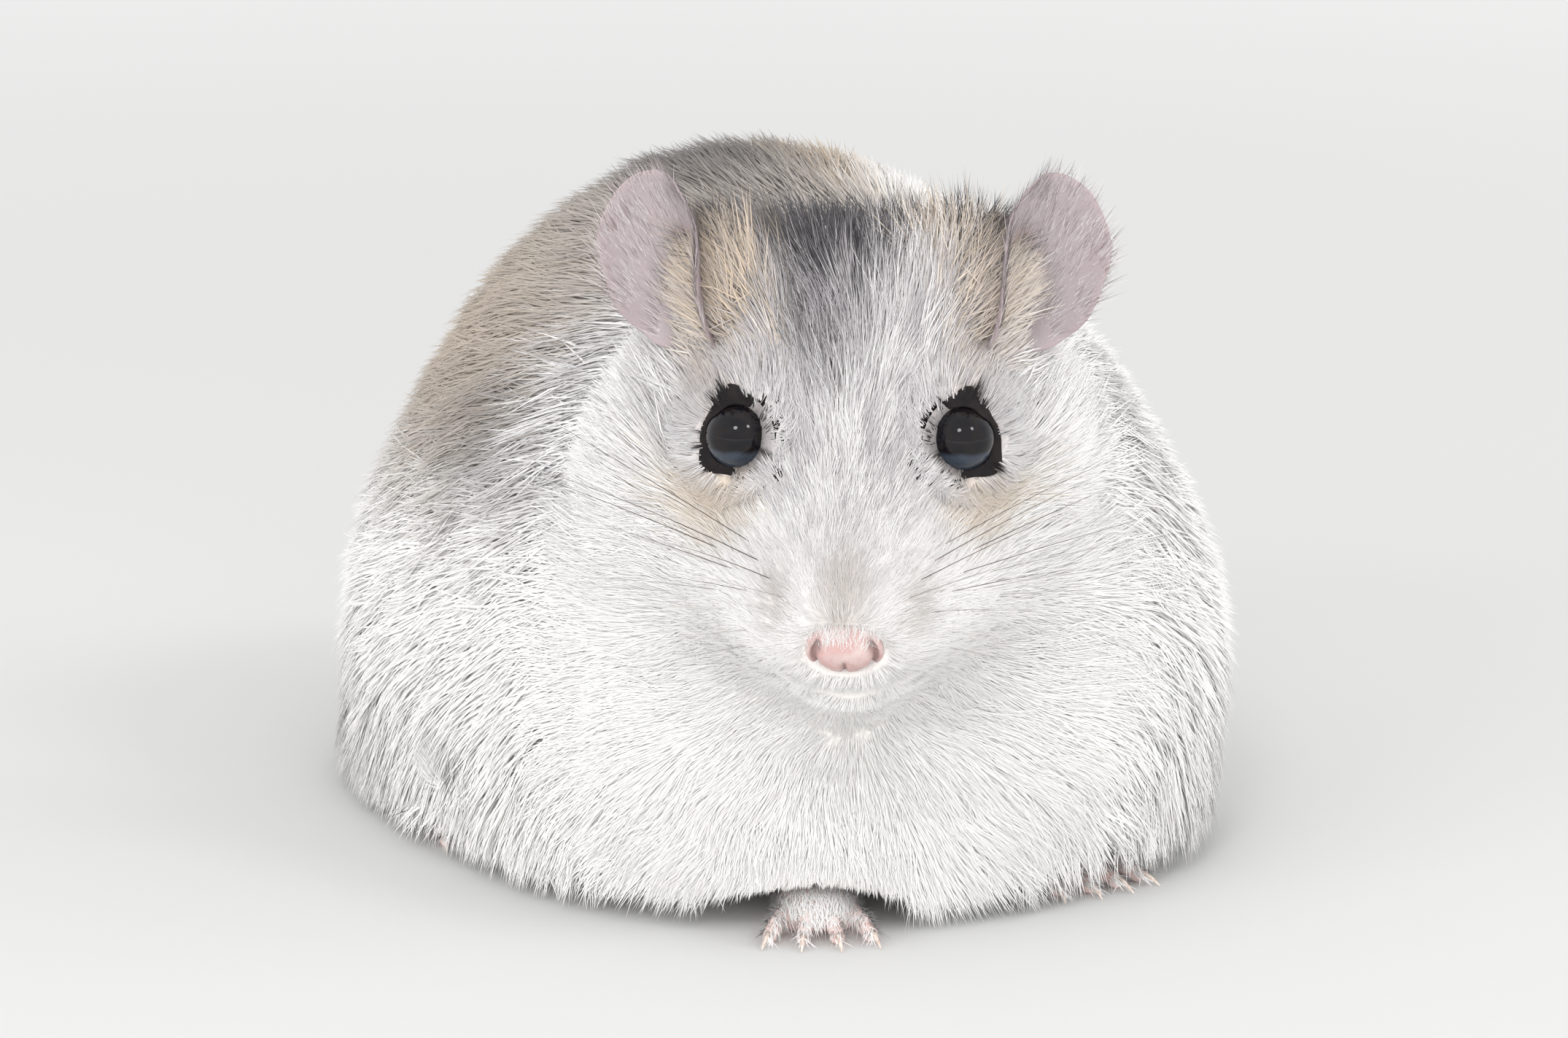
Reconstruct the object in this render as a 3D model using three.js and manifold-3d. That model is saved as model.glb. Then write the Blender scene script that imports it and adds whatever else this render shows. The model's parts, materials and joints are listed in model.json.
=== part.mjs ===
// A Syrian hamster at life size, crouching on a floor with its head turned to its own right.
// Millimetres, +Z up, floor at Z 0. The spine runs along Y with the tail at +Y, and the animal's left is +X.
// The solids are the outside of the coat. Fields describe the masses of the body: a field is negative inside
// and grows outwards. Thin gaps part the body into the pieces that a person would name.
import * as THREE from "three";
import { mergeVertices } from "three/addons/utils/BufferGeometryUtils.js";
import Module from "manifold-3d";

const wasm = await Module();
wasm.setup();

// ---- Driving dimensions ----
const GAP = 0.3; // between neighbouring pieces
const MIDDLE_TO_ORIGIN = [-0.6, -1.4, 0]; // puts the middle of the animal's box over the origin

const TRUNK = {
  halfWidth: 36.4,
  sway: 0.6, // how far the body leans away from the turned head
  front: 45, // from the middle to the chest
  back: 50, // and to the rump
  widestAt: 15, // height of the widest level of the crouching body
  top: 64.2,
};
const BELLY = {
  middle: [0, 10],
  radii: [18, 30, 48, 75], // rings of the shallow bowl under the body, which stands on the first
  curve: 330,
};
const CHEST_LIFT = {
  from: [-12, -22, 0], // where the chest leaves the floor
  forward: 0.17, // how fast it rises to the front
  left: 0.09, // and towards the left forefoot
};

const HEAD_TURN = -31; // degrees about Z, to the animal's right
const HEAD_TILT = 30; // degrees, muzzle down
const EYES_MIDDLE = [-16.3, -43.1, 45.8]; // halfway between the eyeballs
const EYE = { apart: 9.5, back: -0.8, up: 0.6, radius: 3.5 };
const NOSE = { front: -18.8, height: -8.6, halfWidth: 2.8 };

const EAR = { width: 12.6, height: 16.8, thickness: 1.1, cup: 4.4, squareness: 0.8, lean: 0.18 };
const FORE_FOOT = { length: 9.6, width: 7.8, height: 4.2, toes: 4, toe: 3.5, toeRadius: 0.9 };
const HIND_FOOT = { length: 15, width: 7, height: 4, toes: 5, toe: 4.4, toeRadius: 0.9 };
const CLAW = { length: 1.9, radius: 0.42 };
const TAIL = { length: 14, root: 3, tip: 1.1, height: 15 };

const DETAIL = { trunk: 8, head: 9, leg: 2, small: 2, foot: 1 }; // finer with each step up

// ---- Frames ----
const WORLD = new THREE.Matrix4();
const degrees = THREE.MathUtils.degToRad;

// A frame at a place, tilted about X and then turned about Z.
function frameAt(place, turn = 0, tilt = 0, roll = 0) {
  return new THREE.Matrix4()
    .makeRotationZ(degrees(turn))
    .multiply(new THREE.Matrix4().makeRotationX(degrees(tilt)))
    .multiply(new THREE.Matrix4().makeRotationY(degrees(roll)))
    .setPosition(...place);
}

const HEAD = frameAt(EYES_MIDDLE, HEAD_TURN, HEAD_TILT);
const placeIn = (frame, place) => new THREE.Vector3(...place).applyMatrix4(frame).toArray();
const bothSides = (make) => [make(-1), make(1)]; // right, then left

// ---- Fields ----
// An egg: an ellipsoid with its own radius towards the front and below. A higher power squares it off.
function egg({ centre, radii, front = radii[1], below = radii[2], power = 2, frame = WORLD }) {
  const inverse = frame.clone().multiply(new THREE.Matrix4().makeTranslation(...centre)).invert();
  const q = new THREE.Vector3();
  return (point) => {
    q.copy(point).applyMatrix4(inverse);
    const length = q.length();
    const share =
      Math.abs(q.x / radii[0]) ** power +
      Math.abs(q.y / (q.y < 0 ? front : radii[1])) ** power +
      Math.abs(q.z / (q.z < 0 ? below : radii[2])) ** power;
    return length < 1e-6 ? -Math.min(...radii) : length * (1 - share ** (-1 / power));
  };
}

// A limb: a rod with round ends whose radius changes evenly from one end to the other.
function limb(from, fromRadius, to, toRadius, frame = WORLD) {
  const start = new THREE.Vector3(...from).applyMatrix4(frame);
  const along = new THREE.Vector3(...to).applyMatrix4(frame).sub(start);
  const q = new THREE.Vector3();
  return (point) => {
    q.copy(point).sub(start);
    const share = THREE.MathUtils.clamp(q.dot(along) / along.lengthSq(), 0, 1);
    return q.addScaledVector(along, -share).length() - THREE.MathUtils.lerp(fromRadius, toRadius, share);
  };
}

// Everything behind a plane: the side that its normal points away from.
function behindPlane(place, normal) {
  const start = new THREE.Vector3(...place);
  const q = new THREE.Vector3();
  return (point) => q.copy(point).sub(start).dot(normal);
}

// The union of fields, with creases filled over a width.
function blend(width, ...fields) {
  return (point) =>
    fields
      .map((field) => field(point))
      .reduce((a, b) => {
        const near = Math.max(width - Math.abs(a - b), 0) / width;
        return Math.min(a, b) - (near * near * width) / 4;
      });
}

const grown = (field, by) => (point) => field(point) - by;
const within = (...fields) => (point) => Math.max(...fields.map((field) => field(point)));

// ---- Solids ----
// Closed geometry as a solid that can be joined and cut.
function solid(geometry, frame = WORLD) {
  const bare = new THREE.BufferGeometry()
    .setAttribute("position", geometry.attributes.position.clone())
    .setIndex(geometry.index)
    .applyMatrix4(frame);
  const merged = mergeVertices(bare, 1e-4);
  const mesh = new wasm.Mesh({
    numProp: 3,
    vertProperties: merged.attributes.position.array,
    triVerts: new Uint32Array(merged.index.array),
  });
  mesh.merge();
  return new wasm.Manifold(mesh);
}

// Pulls a ball's vertices straight out from a centre to where the field turns positive. The spread says how
// strongly the vertices gather towards each axis.
function wrap(field, centre, spread, detail) {
  const ball = new THREE.IcosahedronGeometry(1, detail).deleteAttribute("normal").deleteAttribute("uv");
  const geometry = mergeVertices(ball, 1e-3);
  const places = geometry.attributes.position;
  const middle = new THREE.Vector3(...centre);
  const stretch = new THREE.Vector3(...spread);
  const direction = new THREE.Vector3();
  const point = new THREE.Vector3();
  const at = (distance) => field(point.copy(middle).addScaledVector(direction, distance));
  for (let i = 0; i < places.count; i++) {
    direction.fromBufferAttribute(places, i).multiply(stretch).normalize();
    let inside = 0;
    let outside = 0;
    while (at(outside) < 0) {
      inside = outside;
      outside += 0.5;
    }
    for (let step = 0; step < 16; step++) {
      const half = (inside + outside) / 2;
      if (at(half) < 0) inside = half;
      else outside = half;
    }
    at(outside);
    places.setXYZ(i, point.x, point.y, point.z);
  }
  return solid(geometry);
}

// Everything on the side of a plane that its normal points to.
const FAR = 300;
function halfSpace(place, normal) {
  const turn = new THREE.Quaternion().setFromUnitVectors(new THREE.Vector3(0, 0, 1), normal);
  const middle = new THREE.Vector3(...place).addScaledVector(normal, FAR / 2);
  const frame = new THREE.Matrix4().compose(middle, turn, new THREE.Vector3(1, 1, 1));
  return solid(new THREE.BoxGeometry(FAR, FAR, FAR), frame);
}

const floor = halfSpace([0, 0, 0], new THREE.Vector3(0, 0, 1));
const largest = (shape) => shape.decompose().sort((a, b) => b.volume() - a.volume())[0];

// ---- Trunk field ----
const dome = egg({
  centre: [TRUNK.sway, 0, TRUNK.widestAt],
  radii: [TRUNK.halfWidth, TRUNK.back, TRUNK.top - TRUNK.widestAt - 3.5],
  front: TRUNK.front,
  below: 20,
  power: 2.25,
});
const hump = egg({ centre: [TRUNK.sway, 6, TRUNK.top - 29], radii: [25, 31, 29] });
const skirt = egg({
  centre: [TRUNK.sway, 1, 11],
  radii: [TRUNK.halfWidth - 1, TRUNK.back - 3, 16],
  front: TRUNK.front - 4,
  below: 30,
  power: 2.6,
});
const shoulders = egg({ centre: [3, -19, 21], radii: [31, 20, 23], front: 22, below: 28 });
const thighs = bothSides((side) =>
  egg({ centre: [TRUNK.sway + side * 20.6, 17, 15], radii: [13, 22, 20], below: 34, power: 2.7 }),
);
const trunkField = blend(8, dome, hump, skirt, shoulders, ...thighs);

// ---- Head field ----
const cranium = egg({ centre: [0, 11, -0.5], radii: [15.5, 15, 13], frame: HEAD });
const cheeks = bothSides((side) =>
  egg({ centre: [side * 10, 8, -7.5], radii: [10.5, 12, 10.5], frame: HEAD }),
);
const muzzle = limb([0, -1, -3.6], 8.6, [0, -13.2, -8.8], 4.9, HEAD);
const whiskerPads = bothSides((side) =>
  egg({ centre: [side * 4, -11.6, -10.4], radii: [4.6, 5.6, 4.6], frame: HEAD }),
);
const jaw = limb([0, 4, -13.5], 10.5, [0, -11.2, -16.8], 4.8, HEAD);
const pouches = bothSides((side) => egg({ centre: [side * 8, 1, -13.8], radii: [8, 10.5, 8], frame: HEAD }));
const jowls = bothSides((side) => egg({ centre: [side * 6.4, -6, -10.4], radii: [6.6, 8.2, 7.4], frame: HEAD }));
const earRoots = bothSides((side) => egg({ centre: [side * 10, 12, 8], radii: [6, 7.5, 6.6], frame: HEAD }));
const face = [cranium, ...cheeks, muzzle, ...whiskerPads, jaw, ...pouches, ...jowls, ...earRoots];
const headField = blend(5, ...face);

const ruffFrame = frameAt([-6, -27.4, 38], HEAD_TURN / 2);
const ruff = egg({ centre: [0, 0, 0], radii: [26, 15, 21], frame: ruffFrame });
const bodyField = blend(8, trunkField, ruff, headField);

// ---- Head, neck and trunk ----
const NECK_LEAN = 32; // degrees that the two neck cuts lean back
const NECK_BACK = { place: [-6, -24.4, 42], turn: -21 };
const NECK_FRONT = { place: [-9.2, -32.4, 42], turn: HEAD_TURN };
const RUN_ON = 12; // how far a wrapped piece runs on past the front cut

// One side of a neck cut, set back from it by a distance. Side 1 is towards the head, -1 towards the tail.
function neckSide(cut, side, back = 0) {
  const normal = new THREE.Vector3(0, -side, 0).transformDirection(frameAt([0, 0, 0], cut.turn, -NECK_LEAN));
  const place = new THREE.Vector3(...cut.place).addScaledVector(normal, back).toArray();
  return { normal, place };
}

const cutOff = (piece, { place, normal }) => piece.intersect(halfSpace(place, normal));

// The body on one side of the front neck cut and a little past it, grown by a distance.
function bodyPast(side, centre, spread, detail, by = 0) {
  const { place, normal } = neckSide(NECK_FRONT, side, -RUN_ON);
  return wrap(grown(within(bodyField, behindPlane(place, normal.negate())), by), centre, spread, detail);
}

// All that lies above the belly's shallow bowl and the lift of the chest.
function underside() {
  const high = TRUNK.top * 2;
  const rise = (radius) => (radius ** 2 - BELLY.radii[0] ** 2) / (2 * BELLY.curve);
  const outer = BELLY.radii.at(-1);
  const profile = [
    new THREE.Vector2(0, 0),
    ...BELLY.radii.map((radius) => new THREE.Vector2(radius, rise(radius))),
    new THREE.Vector2(outer, high),
    new THREE.Vector2(0, high),
  ];
  const bowl = solid(new THREE.LatheGeometry(profile, 28), frameAt([...BELLY.middle, 0], 0, 90));
  const lift = new THREE.Vector3(-CHEST_LIFT.left, CHEST_LIFT.forward, 1).normalize();
  return bowl.intersect(halfSpace(CHEST_LIFT.from, lift));
}

const headPast = (by) => bodyPast(1, placeIn(HEAD, [0, 6, -4]), [20, 20, 16], DETAIL.head, by);
const trunkPast = bodyPast(-1, [0, 2, 24], [36, 48, 40], DETAIL.trunk);
const trunkWhole = cutOff(trunkPast, neckSide(NECK_BACK, -1));
const neck = cutOff(cutOff(trunkPast, neckSide(NECK_BACK, 1, GAP)), neckSide(NECK_FRONT, -1, GAP));
const headWhole = cutOff(headPast(0), neckSide(NECK_FRONT, 1));

// ---- Eyes and nose ----
const eyePlace = (side) => placeIn(HEAD, [side * EYE.apart, EYE.back, EYE.up]);
const eyeBall = (side, extra) =>
  solid(
    new THREE.IcosahedronGeometry(EYE.radius + extra, DETAIL.small),
    new THREE.Matrix4().makeTranslation(...eyePlace(side)),
  );
const noseField = blend(
  0.8,
  egg({ centre: [0, NOSE.front + 1.5, NOSE.height], radii: [NOSE.halfWidth, 1.7, 1.9], frame: HEAD }),
  limb([0, NOSE.front + 2, NOSE.height], 1.7, [0, NOSE.front + 5, NOSE.height], 1.7, HEAD),
);
const nosePad = (extra) =>
  wrap(grown(noseField, extra), placeIn(HEAD, [0, NOSE.front + 2, NOSE.height]), [1, 1, 1], DETAIL.small);

// ---- Ears ----
// A thick leaf, cupped forwards, standing on the side of the crown.
function earLeaf(side) {
  const leaf = new THREE.SphereGeometry(1, 14, 9);
  const places = leaf.attributes.position;
  for (let i = 0; i < places.count; i++) {
    const [x, y, z] = [places.getX(i), places.getY(i), places.getZ(i)];
    const low = Math.min(z, 0) * EAR.squareness;
    const across = x / Math.sqrt(1 - low * low) + side * EAR.lean * z; // broad at the root
    const thick = Math.sign(y) * Math.abs(y) ** 0.4 * (EAR.thickness / 2);
    const cup = EAR.cup * (x * x * 0.75 + z * z * 0.3 - 0.5);
    places.setXYZ(i, (across * EAR.width) / 2, thick - cup, (z * EAR.height) / 2);
  }
  const stand = frameAt([side * 16.3, 10.5, 9.9], side * 38, -14, side * 13);
  return solid(leaf, HEAD.clone().multiply(stand));
}

// ---- Legs ----
// A foot with its toes towards -Y and its sole on the floor. Spread is the angle between the outer toes.
function foot(size, place, turn, spread) {
  const frame = frameAt([place[0], place[1], 0], turn);
  const pad = egg({
    centre: [0, size.length * 0.1, size.height * 0.42],
    radii: [size.width / 2, size.length * 0.6, size.height * 0.62],
    front: size.length * 0.5,
    frame,
  });
  const toeSpace = egg({
    centre: [0, -size.length * 0.3, size.toeRadius * 1.4],
    radii: [size.width * 1.2, size.toe * 0.6, size.toeRadius * 2.8],
    front: size.toe + size.toeRadius * 2 + CLAW.length + 3.5,
    frame,
  });
  const middle = placeIn(frame, [0, 0, size.height * 0.4]);
  const room = wrap(grown(blend(2, pad, toeSpace), GAP * 1.5), middle, [1, 1.3, 1], DETAIL.leg + 1);
  let shape = wrap(pad, middle, [1, 1.3, 1], DETAIL.foot);
  for (let i = 0; i < size.toes; i++) {
    const across = i / (size.toes - 1) - 0.5;
    const rootBack = Math.abs(across) * 1.6 - size.length * 0.3;
    const root = [across * size.width * 0.85, rootBack, size.toeRadius * 1.5];
    const toeFrame = frame.clone().multiply(frameAt(root, across * spread, 8));
    const toe = new THREE.CapsuleGeometry(size.toeRadius, size.toe, 1, 5).translate(0, -size.toe / 2, 0);
    const claw = new THREE.ConeGeometry(CLAW.radius, CLAW.length, 3).rotateX(Math.PI);
    claw.translate(0, -size.toe - size.toeRadius - CLAW.length / 2 + 0.3, 0.15);
    shape = shape.add(solid(toe, toeFrame)).add(solid(claw, toeFrame));
  }
  return { shape: shape.intersect(floor), room };
}

// The legs of one side or the other stand where their feet do: x, y and the way that the toes turn.
const FORE = [
  { side: -1, x: -14.8, y: -34.6, turn: -26 },
  { side: 1, x: 12.4, y: -31.4, turn: 4 },
];
const HIND = [
  { side: -1, x: -28.2, y: 11, turn: -7 },
  { side: 1, x: 28.2, y: 11, turn: 7 },
];
const fromFoot = ({ side, x, y }, out, back, up) => [x + side * out, y + back, up];
const foreFeet = FORE.map(({ x, y, turn }) => foot(FORE_FOOT, [x, y], turn, 52));
const hindFeet = HIND.map(({ x, y, turn }) => foot(HIND_FOOT, [x, y], turn, 40));

function arm(leg) {
  const forearm = limb(fromFoot(leg, 3, 9, 9), 6, fromFoot(leg, 0, 3, 4.6), 3.1);
  const wrist = egg({ centre: fromFoot(leg, 0, 5, 6.4), radii: [4.2, 4.6, 4.2] });
  return wrap(blend(2, forearm, wrist), fromFoot(leg, 1.6, 6, 7), [1, 1, 1], DETAIL.leg);
}

// The space that a leg takes out of the body, grown by a distance.
function foreSpace(leg, by) {
  const space = egg({ centre: fromFoot(leg, 4, 7, 6), radii: [10.5, 16, 13], front: 30, below: 20 });
  return wrap(grown(space, by), fromFoot(leg, 1.6, 6, 7), [1, 1, 1], DETAIL.leg);
}

function hindSpace(leg, by) {
  const space = egg({ centre: fromFoot(leg, 0.5, 11, 13), radii: [16, 22, 23], below: 30 });
  return wrap(grown(space, by), fromFoot(leg, -0.5, 11, 14), [1, 1.3, 1.2], DETAIL.leg + 1);
}

// ---- Tail ----
const tailRoot = [0, TRUNK.back - 7, TAIL.height + 2];
const tailTip = [1.5, TRUNK.back - 7 + TAIL.length, TAIL.height - 4];
const tailField = limb(tailRoot, TAIL.root, tailTip, TAIL.tip);
const tailSolid = (extra, detail) => wrap(grown(tailField, extra), tailRoot, [1, 2.4, 1], detail);

// ---- Pieces ----
const cutAll = (piece, tools) => tools.reduce((rest, tool) => rest.subtract(tool), piece);
const bodyWithArms = FORE.reduce((body, leg) => body.add(arm(leg)), trunkWhole.intersect(underside()));
const footRoom = [...foreFeet, ...hindFeet].map(({ room }) => room);

const trunk = cutAll(bodyWithArms, [
  ...FORE.map((leg) => foreSpace(leg, GAP / 2)),
  ...HIND.map((leg) => hindSpace(leg, GAP / 2)),
  ...footRoom,
  tailSolid(GAP, DETAIL.small + 1),
]);
const foreLegs = FORE.map((leg) => cutAll(bodyWithArms.intersect(foreSpace(leg, -GAP / 2)), footRoom));
const hindLegs = HIND.map((leg) => cutAll(bodyWithArms.intersect(hindSpace(leg, -GAP / 2)), footRoom));
const head = cutAll(headWhole, [...bothSides((side) => eyeBall(side, GAP)), nosePad(GAP)]);

const ears = bothSides((side) => cutAll(earLeaf(side), [headPast(GAP), neck, trunkWhole]));

// ---- Scene ----
const COAT_WHITE = { color: 0xeae6df, roughness: 0.9 };
const COAT_GREY = { color: 0x9b8f86, roughness: 0.9 };
const BARE_PINK = { color: 0xe0a69c, roughness: 0.6 };
const EAR_MAUVE = { color: 0xa9959a, roughness: 0.7 };
const EYE_BLACK = { color: 0x0b0c10, roughness: 0.08 };

const hamster = new THREE.Group();
function place(name, shape, finish) {
  const { vertProperties, triVerts, numProp } = largest(shape).getMesh();
  const geometry = new THREE.BufferGeometry()
    .setAttribute("position", new THREE.BufferAttribute(new Float32Array(vertProperties), numProp))
    .setIndex(new THREE.BufferAttribute(new Uint32Array(triVerts), 1));
  const mesh = new THREE.Mesh(geometry, new THREE.MeshStandardMaterial({ metalness: 0, ...finish }));
  mesh.name = name;
  hamster.add(mesh);
}

place("trunk", trunk, COAT_GREY);
place("neck", neck, COAT_WHITE);
place("head", head, COAT_WHITE);
place("nose", nosePad(0), BARE_PINK);
place("tail", tailSolid(0, DETAIL.small), BARE_PINK);
["right", "left"].forEach((name, i) => {
  place(`eye_${name}`, eyeBall(FORE[i].side, 0), EYE_BLACK);
  place(`ear_${name}`, ears[i], EAR_MAUVE);
  place(`foreleg_${name}`, foreLegs[i], COAT_WHITE);
  place(`forepaw_${name}`, foreFeet[i].shape, BARE_PINK);
  place(`hindleg_${name}`, hindLegs[i], COAT_WHITE);
  place(`hindfoot_${name}`, hindFeet[i].shape, BARE_PINK);
});
hamster.position.set(...MIDDLE_TO_ORIGIN);
export default hamster;
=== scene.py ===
"""A still, life-size Syrian hamster: one skin under a coat of fine locks, with eyes, claws and whiskers."""
import json
import logging
import math
from dataclasses import dataclass, field
from enum import Enum
from typing import Any, Callable, Optional, Sequence, Union

import bmesh
import bpy
import numpy as np
from mathutils import Matrix, Vector
from mathutils.bvhtree import BVHTree
from mathutils.kdtree import KDTree

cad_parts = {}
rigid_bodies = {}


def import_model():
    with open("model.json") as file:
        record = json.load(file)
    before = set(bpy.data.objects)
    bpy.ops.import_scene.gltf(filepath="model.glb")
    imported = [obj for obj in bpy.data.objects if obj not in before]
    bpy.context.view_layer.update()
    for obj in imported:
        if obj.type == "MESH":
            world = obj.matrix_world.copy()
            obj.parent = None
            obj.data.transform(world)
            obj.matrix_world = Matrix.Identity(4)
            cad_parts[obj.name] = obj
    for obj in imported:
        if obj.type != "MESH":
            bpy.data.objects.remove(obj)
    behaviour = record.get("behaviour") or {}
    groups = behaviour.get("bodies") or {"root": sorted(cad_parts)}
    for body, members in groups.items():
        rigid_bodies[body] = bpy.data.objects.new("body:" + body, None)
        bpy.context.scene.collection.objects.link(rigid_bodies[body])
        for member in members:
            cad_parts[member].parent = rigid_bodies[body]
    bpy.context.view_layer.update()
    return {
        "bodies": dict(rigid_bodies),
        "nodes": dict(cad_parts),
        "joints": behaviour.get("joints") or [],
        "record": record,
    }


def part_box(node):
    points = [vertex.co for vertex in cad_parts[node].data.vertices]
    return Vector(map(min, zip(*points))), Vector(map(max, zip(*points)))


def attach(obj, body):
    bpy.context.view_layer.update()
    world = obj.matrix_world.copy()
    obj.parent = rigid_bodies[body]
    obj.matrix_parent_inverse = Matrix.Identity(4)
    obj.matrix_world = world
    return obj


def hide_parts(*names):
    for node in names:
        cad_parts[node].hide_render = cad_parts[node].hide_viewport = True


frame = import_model()
log = logging.getLogger("hamster")
MM = 0.001
Array = np.ndarray
Triple = tuple[float, float, float]


# ---- Small sums ----
def rising(low: float, high: float, value: Array) -> Array:
    """A smooth step from 0 at low to 1 at high.

    Args:
        low: where the step starts.
        high: where it ends.
        value: what is compared with them.

    Returns:
        The step's height at each value.
    """
    share = np.clip((value - low) / (high - low), 0.0, 1.0)
    return share * share * (3.0 - 2.0 * share)


def between(start: Any, end: Any, share: Any) -> Any:
    """The value a share of the way from start to end."""
    return start + (end - start) * share


def unit(vectors: Array) -> Array:
    """The same directions with length 1."""
    return vectors / np.maximum(np.linalg.norm(vectors, axis=-1, keepdims=True), 1e-12)


def same_way(way: Any, places: Array) -> Array:
    """One way, with length 1, once for each place."""
    return np.tile(unit(np.array(way)), (len(places), 1))


def hump(value: Array, middle: float, width: float) -> Array:
    """A soft hump of height 1 over a middle."""
    return np.exp(-(((value - middle) / width) ** 2))


def along_surface(directions: Array, normals: Array) -> Array:
    """Directions laid down onto the surface that the normals stand on.

    Args:
        directions: one direction for each place.
        normals: the surface's normal at each place.

    Returns:
        Unit vectors that lie in the surface.
    """
    flat = directions - normals * np.sum(directions * normals, axis=1, keepdims=True)
    return unit(flat)


def waves(places: Array, length: float, seed: float) -> Array:
    """A smooth field of wavering directions.

    Args:
        places: points in metres.
        length: about how far apart the waves are, in metres.
        seed: sets the waves apart from those of another field.

    Returns:
        One vector for each place, with parts from about -1 to 1.
    """
    turns = places * (2.0 * math.pi / length)
    x, y, z = turns[:, 0], turns[:, 1], turns[:, 2]
    first = np.sin(x * 0.9 + y * 0.5 + seed) * np.cos(z * 0.7 - y * 0.3 + seed * 2.1)
    second = np.sin(y * 1.1 - z * 0.6 + seed * 1.7) * np.cos(x * 0.8 + z * 0.2 + seed)
    third = np.sin(z * 1.2 + x * 0.4 + seed * 0.6) * np.cos(y * 0.9 - x * 0.5 + seed * 1.3)
    return np.stack([first, second, third], axis=1)


class Side(Enum):
    """The animal's two sides, with the sign of each along its own left-right axis."""

    RIGHT = -1
    LEFT = 1

    @property
    def word(self) -> str:
        """The side's name as it stands in the nodes' names."""
        return self.name.lower()


class Tone(Enum):
    """The colours of the coat, in linear light."""

    WHITE = (0.965, 0.955, 0.94)
    CREAM = (0.95, 0.925, 0.89)
    TAN = (0.64, 0.50, 0.345)
    GREY_BROWN = (0.36, 0.315, 0.28)
    SILVER = (0.46, 0.435, 0.45)
    CHARCOAL = (0.055, 0.053, 0.056)
    SOOT = (0.020, 0.018, 0.018)
    MAUVE = (0.66, 0.605, 0.615)
    TAUPE = (0.27, 0.205, 0.195)


# ---- Frames ----
@dataclass(frozen=True)
class HeadFrame:
    """The turned head's own axes: x to the animal's left, y back from the nose, z up from the muzzle."""

    origin: Array
    axes: Array

    EYE_OUT = 9.5
    EYE_BACK = -0.8
    EYE_UP = 0.6
    TILT = 30.0
    NOSE = np.array([0.0, -18.8, -8.6])

    @classmethod
    def from_eyes(cls) -> "HeadFrame":
        """Finds the head from where its two eyes are and how far its muzzle is tilted down."""
        right, left = (np.array(sum(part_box(f"eye_{side.word}"), Vector()) / 2) for side in Side)
        turn = math.atan2(left[1] - right[1], left[0] - right[0])
        axes = np.array(Matrix.Rotation(turn, 3, "Z") @ Matrix.Rotation(math.radians(cls.TILT), 3, "X"))
        middle = (right + left) / 2
        return cls(middle - axes @ np.array([0.0, cls.EYE_BACK, cls.EYE_UP]) * MM, axes)

    def place(self, x: float, y: float, z: float) -> Array:
        """A point of the head, given in millimetres, in the model's frame."""
        return self.origin + self.axes @ (np.array([x, y, z]) * MM)

    def eye(self, side: Side) -> Array:
        """The middle of one eyeball."""
        return self.place(side.value * self.EYE_OUT, self.EYE_BACK, self.EYE_UP)

    def local(self, places: Array) -> Array:
        """Places of the model's frame in the head's frame, in millimetres."""
        return (places - self.origin) @ self.axes / MM

    def matrix(self) -> Matrix:
        """The head's axes and origin as a matrix."""
        return Matrix.LocRotScale(Vector(self.origin), Matrix(self.axes.tolist()).to_quaternion(), None)


@dataclass(frozen=True)
class FootStand:
    """Where a foot stands and how its toes are set, in millimetres."""

    node: str
    place: tuple[float, float]
    turn: float
    length: float
    width: float
    height: float
    toes: int
    toe: float
    spread: float

    TOE_RADIUS = 0.9

    def matrix(self) -> Matrix:
        """The foot's frame, with its toes towards -y and its sole on the floor."""
        spin = Matrix.Rotation(math.radians(self.turn), 4, "Z")
        return Matrix.Translation(Vector((*self.place, 0.0)) * MM) @ spin

    def middle(self) -> Array:
        """The middle of the foot, in the model's frame."""
        return np.array(self.matrix() @ Vector((0.0, 0.0, self.height * 0.4 * MM)))


FORE = {"length": 9.6, "width": 7.8, "height": 4.2, "toes": 4, "toe": 3.5, "spread": 36.0}
HIND = {"length": 15.0, "width": 7.0, "height": 4.0, "toes": 5, "toe": 4.4, "spread": 34.0}
FEET = (
    FootStand("forepaw_right", (-15.4, -36.0), -26.0, **FORE),
    FootStand("forepaw_left", (11.8, -32.8), 4.0, **FORE),
    FootStand("hindfoot_right", (-28.8, 9.6), -7.0, **HIND),
    FootStand("hindfoot_left", (27.6, 9.6), 7.0, **HIND),
)


# ---- Shader maths ----
class Wire:
    """A socket of a material's graph. Sums on numbers are written as Python expressions."""

    def __init__(self, graph: "Graph", socket: Any) -> None:
        """Holds the socket and the graph that it belongs to."""
        self.graph = graph
        self.socket = socket

    def _sum(self, operation: str, first: Any, second: Any) -> "Wire":
        """A Math node on two values."""
        return self.graph.take("ShaderNodeMath", {"operation": operation}, {0: first, 1: second})

    def __add__(self, other: Any) -> "Wire":
        """This value and another added."""
        return self._sum("ADD", self, other)

    __radd__ = __add__

    def __sub__(self, other: Any) -> "Wire":
        """This value less another."""
        return self._sum("SUBTRACT", self, other)

    def __rsub__(self, other: Any) -> "Wire":
        """Another value less this one."""
        return self._sum("SUBTRACT", other, self)

    def __mul__(self, other: Any) -> "Wire":
        """This value times another."""
        return self._sum("MULTIPLY", self, other)

    __rmul__ = __mul__

    def rise(self, low: float, high: float) -> "Wire":
        """A smooth step from 0 at low to 1 at high."""
        inputs = {"Value": self, "From Min": low, "From Max": high}
        return self.graph.take("ShaderNodeMapRange", {"interpolation_type": "SMOOTHSTEP"}, inputs)


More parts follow.
